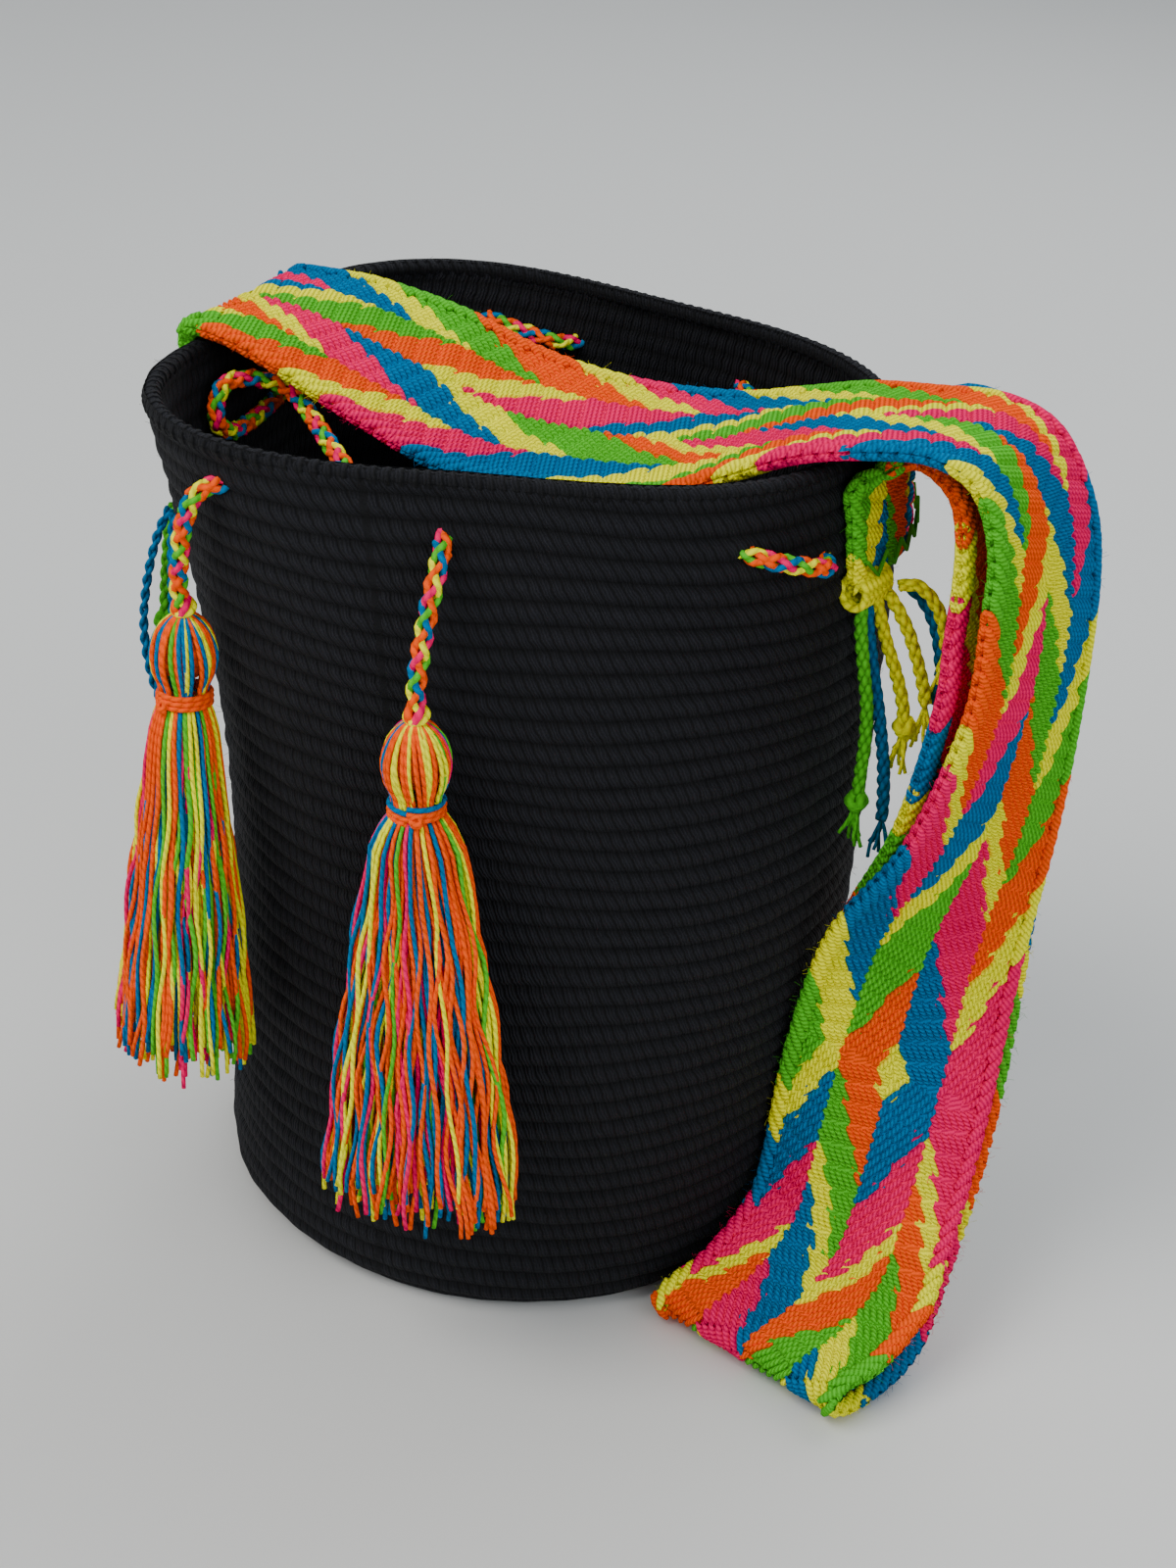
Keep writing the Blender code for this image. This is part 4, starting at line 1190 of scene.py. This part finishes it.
class BAG_OT_ties(bpy.types.Operator):
    """Twists the strap's loose yarn ends, with their knots and fringes."""

    bl_idname = "bag.strap_ties"
    bl_label = "Strap Yarn Ends"

    def execute(self, context):
        for name, (frame_diameter, colour, end, route) in STRAP_TIES.items():
            diameter = frame_diameter * TIE_FULLNESS
            line = smooth_curve([Vector(place) for place in route], 8)
            length = length_of(line)
            fine = spread(line, max(12, round(length / TIE_STEP)))
            tie = placed(self.twist(name, fine, length, diameter, colour), colour + "_yarn", name)
            tail = placed(self.tail(name, fine[-1], diameter, colour, end), colour + "_yarn")
        placed(self.corner_wraps(), "yellow_yarn")
        return {"FINISHED"}

    def twist(self, name, fine, length, diameter, colour):
        """The plies of one yarn end, wound round each other."""
        weave = Weave()
        plies = 3 if diameter > THICK_TIE else 2
        for which in range(plies):
            line = wound(fine, length, self.ply, which / plies, diameter)
            weave.tube(line, diameter * PLY_RADIUS, 6, YARNS.index(colour))
        return weave.build(name + "_twist", yarns("thick"))

    def ply(self, along, start, diameter):
        """A ply's turn and distance out, at a distance along the yarn end."""
        return math.tau * (start + along / (diameter * TIE_PITCH)), diameter * PLY_DISTANCE

    def tail(self, name, last, diameter, colour, end):
        """The knot, if there is one, and the short fringe where the plies come apart."""
        weave = Weave()
        chance = random.Random(len(name) * 5 + 1)
        if end == "knot":
            for turn in range(3):
                tilt = math.radians(20 + 50 * turn)
                ring = tilted_ring(last, diameter * TIE_KNOT_RADIUS, tilt, turn * 1.1, 18)
                weave.tube(ring, diameter * TIE_KNOT_YARN, 6, YARNS.index(colour))
        for index in range(FRINGE_YARNS):
            away = Vector((chance.uniform(-0.3, 0.3), chance.uniform(-0.3, 0.3), -1.0))
            reach = chance.uniform(*FRINGE_LENGTH)
            line = []
            for step in range(FRINGE_STEPS + 1):
                t = step / FRINGE_STEPS
                bow = Vector((math.sin(4 * t + index), math.cos(3 * t + index), 0.0)) * FRINGE_BOW * t
                line.append(last + away * (reach * t) + bow)
            weave.tube(line, diameter * FRINGE_YARN, 5, YARNS.index(colour))
        return weave.build(name + "_tail", yarns("strand"))

    def corner_wraps(self):
        """Turns of yellow yarn over the cut edge of the strap's right end, where the yarn ends leave."""
        weave = Weave()
        outwards, height = SEWN_RIGHT[0]
        edge = SEWN_RIGHT_ANGLE - math.degrees(STRAP_WIDTH / 2 / outline_radius(height)) + WRAP_INSET
        for index in range(WRAPS):
            ring = []
            for step in range(17):
                turn = math.tau * step / 16
                degrees = edge + WRAP_PITCH * index + WRAP_SLANT * math.sin(turn)
                ring.append(wall_point(degrees, outwards + WRAP_DEPTH * math.cos(turn),
                                       height - WRAP_DROP + WRAP_HEIGHT * math.sin(turn)))
            weave.tube(ring, WRAP_YARN, 6, YARNS.index("yellow"))
        return weave.build("corner_wraps", yarns("thick"))


# A fibre's shortest and longest length, its radius, and how far it strays and bends as a share of its length
FIBRE_LENGTH = (0.0010, 0.0027)
FIBRE_RADIUS = 0.00005
FIBRE_SPREAD = 0.8
FIBRE_BOW = 0.5
# Where fibres start on the wall and near the strap's ends, and how far out their feet are
LOWEST_FIBRE = 0.02
FIBRE_END_GAP = 0.01
WALL_FOOT = 0.0002
EDGE_FOOT = 0.0012


class BAG_OT_fibres(bpy.types.Operator):
    """Lets short loose fibres stand up from the wall and the strap's edges."""

    bl_idname = "bag.loose_fibres"
    bl_label = "Loose Fibres"

    def execute(self, context):
        chance = random.Random(21)
        count = context.scene.bag_sizes.fibres
        wall = Weave()
        for _ in range(count):
            degrees, height = chance.uniform(-180.0, 180.0), chance.uniform(LOWEST_FIBRE, RIM_HEIGHT)
            foot = wall_point(degrees, WALL_FOOT, height)
            out = (wall_point(degrees, 0.01, height) - foot).normalized()
            self.fibre(wall, foot, out, 0, chance)
        placed(wall.build("wall_fibres", [crochet("black_fibre", 1.0)]), "crochet")
        edge = Weave()
        surface = StrapSurface()
        for _ in range(count):
            share = chance.choice((0.0, 1.0))
            along = chance.uniform(FIBRE_END_GAP, surface.length - FIBRE_END_GAP)
            here, _, across, out = surface.axes(along, share)
            away = (across * (1.0 if share else -1.0) + out * chance.uniform(-1.0, 1.0)).normalized()
            colour = band_colour(along, EDGE_COLOUR_SHARE + (1.0 - 2.0 * EDGE_COLOUR_SHARE) * share)
            self.fibre(edge, here + away * EDGE_FOOT, away, colour, chance)
        placed(edge.build("strap_fibres", yarns("strand")), "strap_weave")
        return {"FINISHED"}

    def fibre(self, weave, foot, out, colour, chance):
        """One curved hair."""
        away = (out + Vector([chance.uniform(-FIBRE_SPREAD, FIBRE_SPREAD) for _ in range(3)])).normalized()
        bow = Vector([chance.uniform(-1.0, 1.0) for _ in range(3)])
        reach = chance.uniform(*FIBRE_LENGTH)
        line = [foot + away * (reach * t) + bow * (reach * FIBRE_BOW * t * t) for t in (0.0, 0.35, 0.7, 1.0)]
        weave.tube(line, FIBRE_RADIUS, 3, colour)


# ---------------------------------------------------------------- stage

FLOOR_REACH = 12.0
FLOOR_DROP = 0.0002
FLOOR_GRAIN = 35.0
FLOOR_ROUGHNESS = (0.72, 0.80)
# The lamps: place, width, power and colour. All face the middle of the bag
LAMPS = {
    "key_light": ((-0.9, -1.3, 1.9), 1.5, 48.0, (1.0, 0.98, 0.95)),
    "fill_light": ((1.6, -1.2, 1.2), 1.8, 22.0, (0.92, 0.96, 1.0)),
    "back_light": ((0.3, 1.5, 1.8), 1.6, 28.0, (0.95, 0.98, 1.0)),
}
LAMP_AIM = (0.0, 0.0, 0.15)
ROOM_COLOUR = (0.86, 0.92, 1.0, 1.0)
ROOM_STRENGTH = 0.48
# The camera's right, up and back, its place, and its lens and sensor in millimetres
CAMERA_AXES = ((0.90593, 0.41602, 0.07888), (-0.25956, 0.39843, 0.87971), (0.33455, -0.81743, 0.46893))
CAMERA_PLACE = (0.3197, -0.7352, 0.5770)
CAMERA_LENS = 60.35
CAMERA_SENSOR = 36.0
CAMERA_NEAREST = 0.01


class BAG_OT_stage(bpy.types.Operator):
    """Sets the pale floor, the soft lights and the camera."""

    bl_idname = "bag.stage"
    bl_label = "Stage"

    def execute(self, context):
        self.floor(context.scene)
        for name, lamp in LAMPS.items():
            self.light(context.scene, name, *lamp)
        world = bpy.data.worlds.new("soft_room")
        context.scene.world = world
        world.use_nodes = True
        room = world.node_tree.nodes["Background"]
        room.inputs["Color"].default_value = ROOM_COLOUR
        room.inputs["Strength"].default_value = ROOM_STRENGTH
        self.camera(context.scene)
        return {"FINISHED"}

    def floor(self, scene):
        """A pale, slightly uneven floor."""
        mesh = bpy.data.meshes.new("floor")
        corners = [(x * FLOOR_REACH, y * FLOOR_REACH, -FLOOR_DROP)
                   for x, y in ((-1, -1), (1, -1), (1, 1), (-1, 1))]
        mesh.from_pydata(corners, [], [(0, 1, 2, 3)])
        floor = bpy.data.objects.new("floor", mesh)
        scene.collection.objects.link(floor)
        paint = bpy.data.materials.new("pale_floor")
        paint.use_nodes = True
        nodes, links = paint.node_tree.nodes, paint.node_tree.links
        shader = nodes["Principled BSDF"]
        shader.inputs["Base Color"].default_value = (*scene.bag_colours.floor, 1.0)
        grain = nodes.new("ShaderNodeTexNoise")
        grain.inputs["Scale"].default_value = FLOOR_GRAIN
        ramp = nodes.new("ShaderNodeMapRange")
        for key, value in zip(("To Min", "To Max"), FLOOR_ROUGHNESS):
            ramp.inputs[key].default_value = value
        links.new(grain.outputs["Fac"], ramp.inputs["Value"])
        links.new(ramp.outputs["Result"], shader.inputs["Roughness"])
        mesh.materials.append(paint)

    def light(self, scene, name, place, size, power, colour):
        """A large soft lamp that faces the bag."""
        lamp = bpy.data.lights.new(name, "AREA")
        lamp.size = size
        lamp.energy = power
        lamp.color = colour
        holder = bpy.data.objects.new(name, lamp)
        scene.collection.objects.link(holder)
        holder.location = place
        aim = Vector(LAMP_AIM) - Vector(place)
        holder.rotation_euler = aim.to_track_quat("-Z", "Y").to_euler()

    def camera(self, scene):
        """The camera, which looks down on the bag from in front and to the right."""
        camera = bpy.data.cameras.new("camera")
        camera.lens = CAMERA_LENS
        camera.sensor_width = CAMERA_SENSOR
        camera.clip_start = CAMERA_NEAREST
        holder = bpy.data.objects.new("camera", camera)
        scene.collection.objects.link(holder)
        turn = Matrix([Vector(axis) for axis in CAMERA_AXES]).transposed().to_4x4()
        holder.matrix_world = Matrix.Translation(CAMERA_PLACE) @ turn
        scene.camera = holder


class BAG_PT_panel(bpy.types.Panel):
    """Lists the bag's pieces and settings."""

    bl_idname = "BAG_PT_panel"
    bl_label = "Crocheted Bag"
    bl_space_type = "VIEW_3D"
    bl_region_type = "UI"
    bl_category = "Bag"

    def draw(self, context):
        for settings in (context.scene.bag_sizes, context.scene.bag_colours):
            for name in settings.bl_rna.properties.keys():
                if name not in ("rna_type", "name"):
                    self.layout.prop(settings, name)
        for made in OPERATORS:
            self.layout.operator(made.bl_idname)


OPERATORS = (BAG_OT_stage, BAG_OT_drawstring, BAG_OT_ties, BAG_OT_body, BAG_OT_rim, BAG_OT_strap,
             BAG_OT_seams, BAG_OT_tassels, BAG_OT_fibres)
CLASSES = (BagColours, BagSizes, *OPERATORS, BAG_PT_panel)


def register():
    for made in CLASSES:
        bpy.utils.register_class(made)
    bpy.types.Scene.bag_colours = PointerProperty(type=BagColours)
    bpy.types.Scene.bag_sizes = PointerProperty(type=BagSizes)


def unregister():
    del bpy.types.Scene.bag_sizes
    del bpy.types.Scene.bag_colours
    for made in reversed(CLASSES):
        bpy.utils.unregister_class(made)


def main():
    register()
    bpy.ops.bag.stage()
    bpy.ops.bag.drawstring()
    bpy.ops.bag.strap_ties()
    bpy.ops.bag.crochet_body()
    bpy.ops.bag.rim_edging()
    bpy.ops.bag.woven_strap()
    bpy.ops.bag.strap_seams()
    bpy.ops.bag.tassels()
    bpy.ops.bag.loose_fibres()


if __name__ == "__main__":
    main()
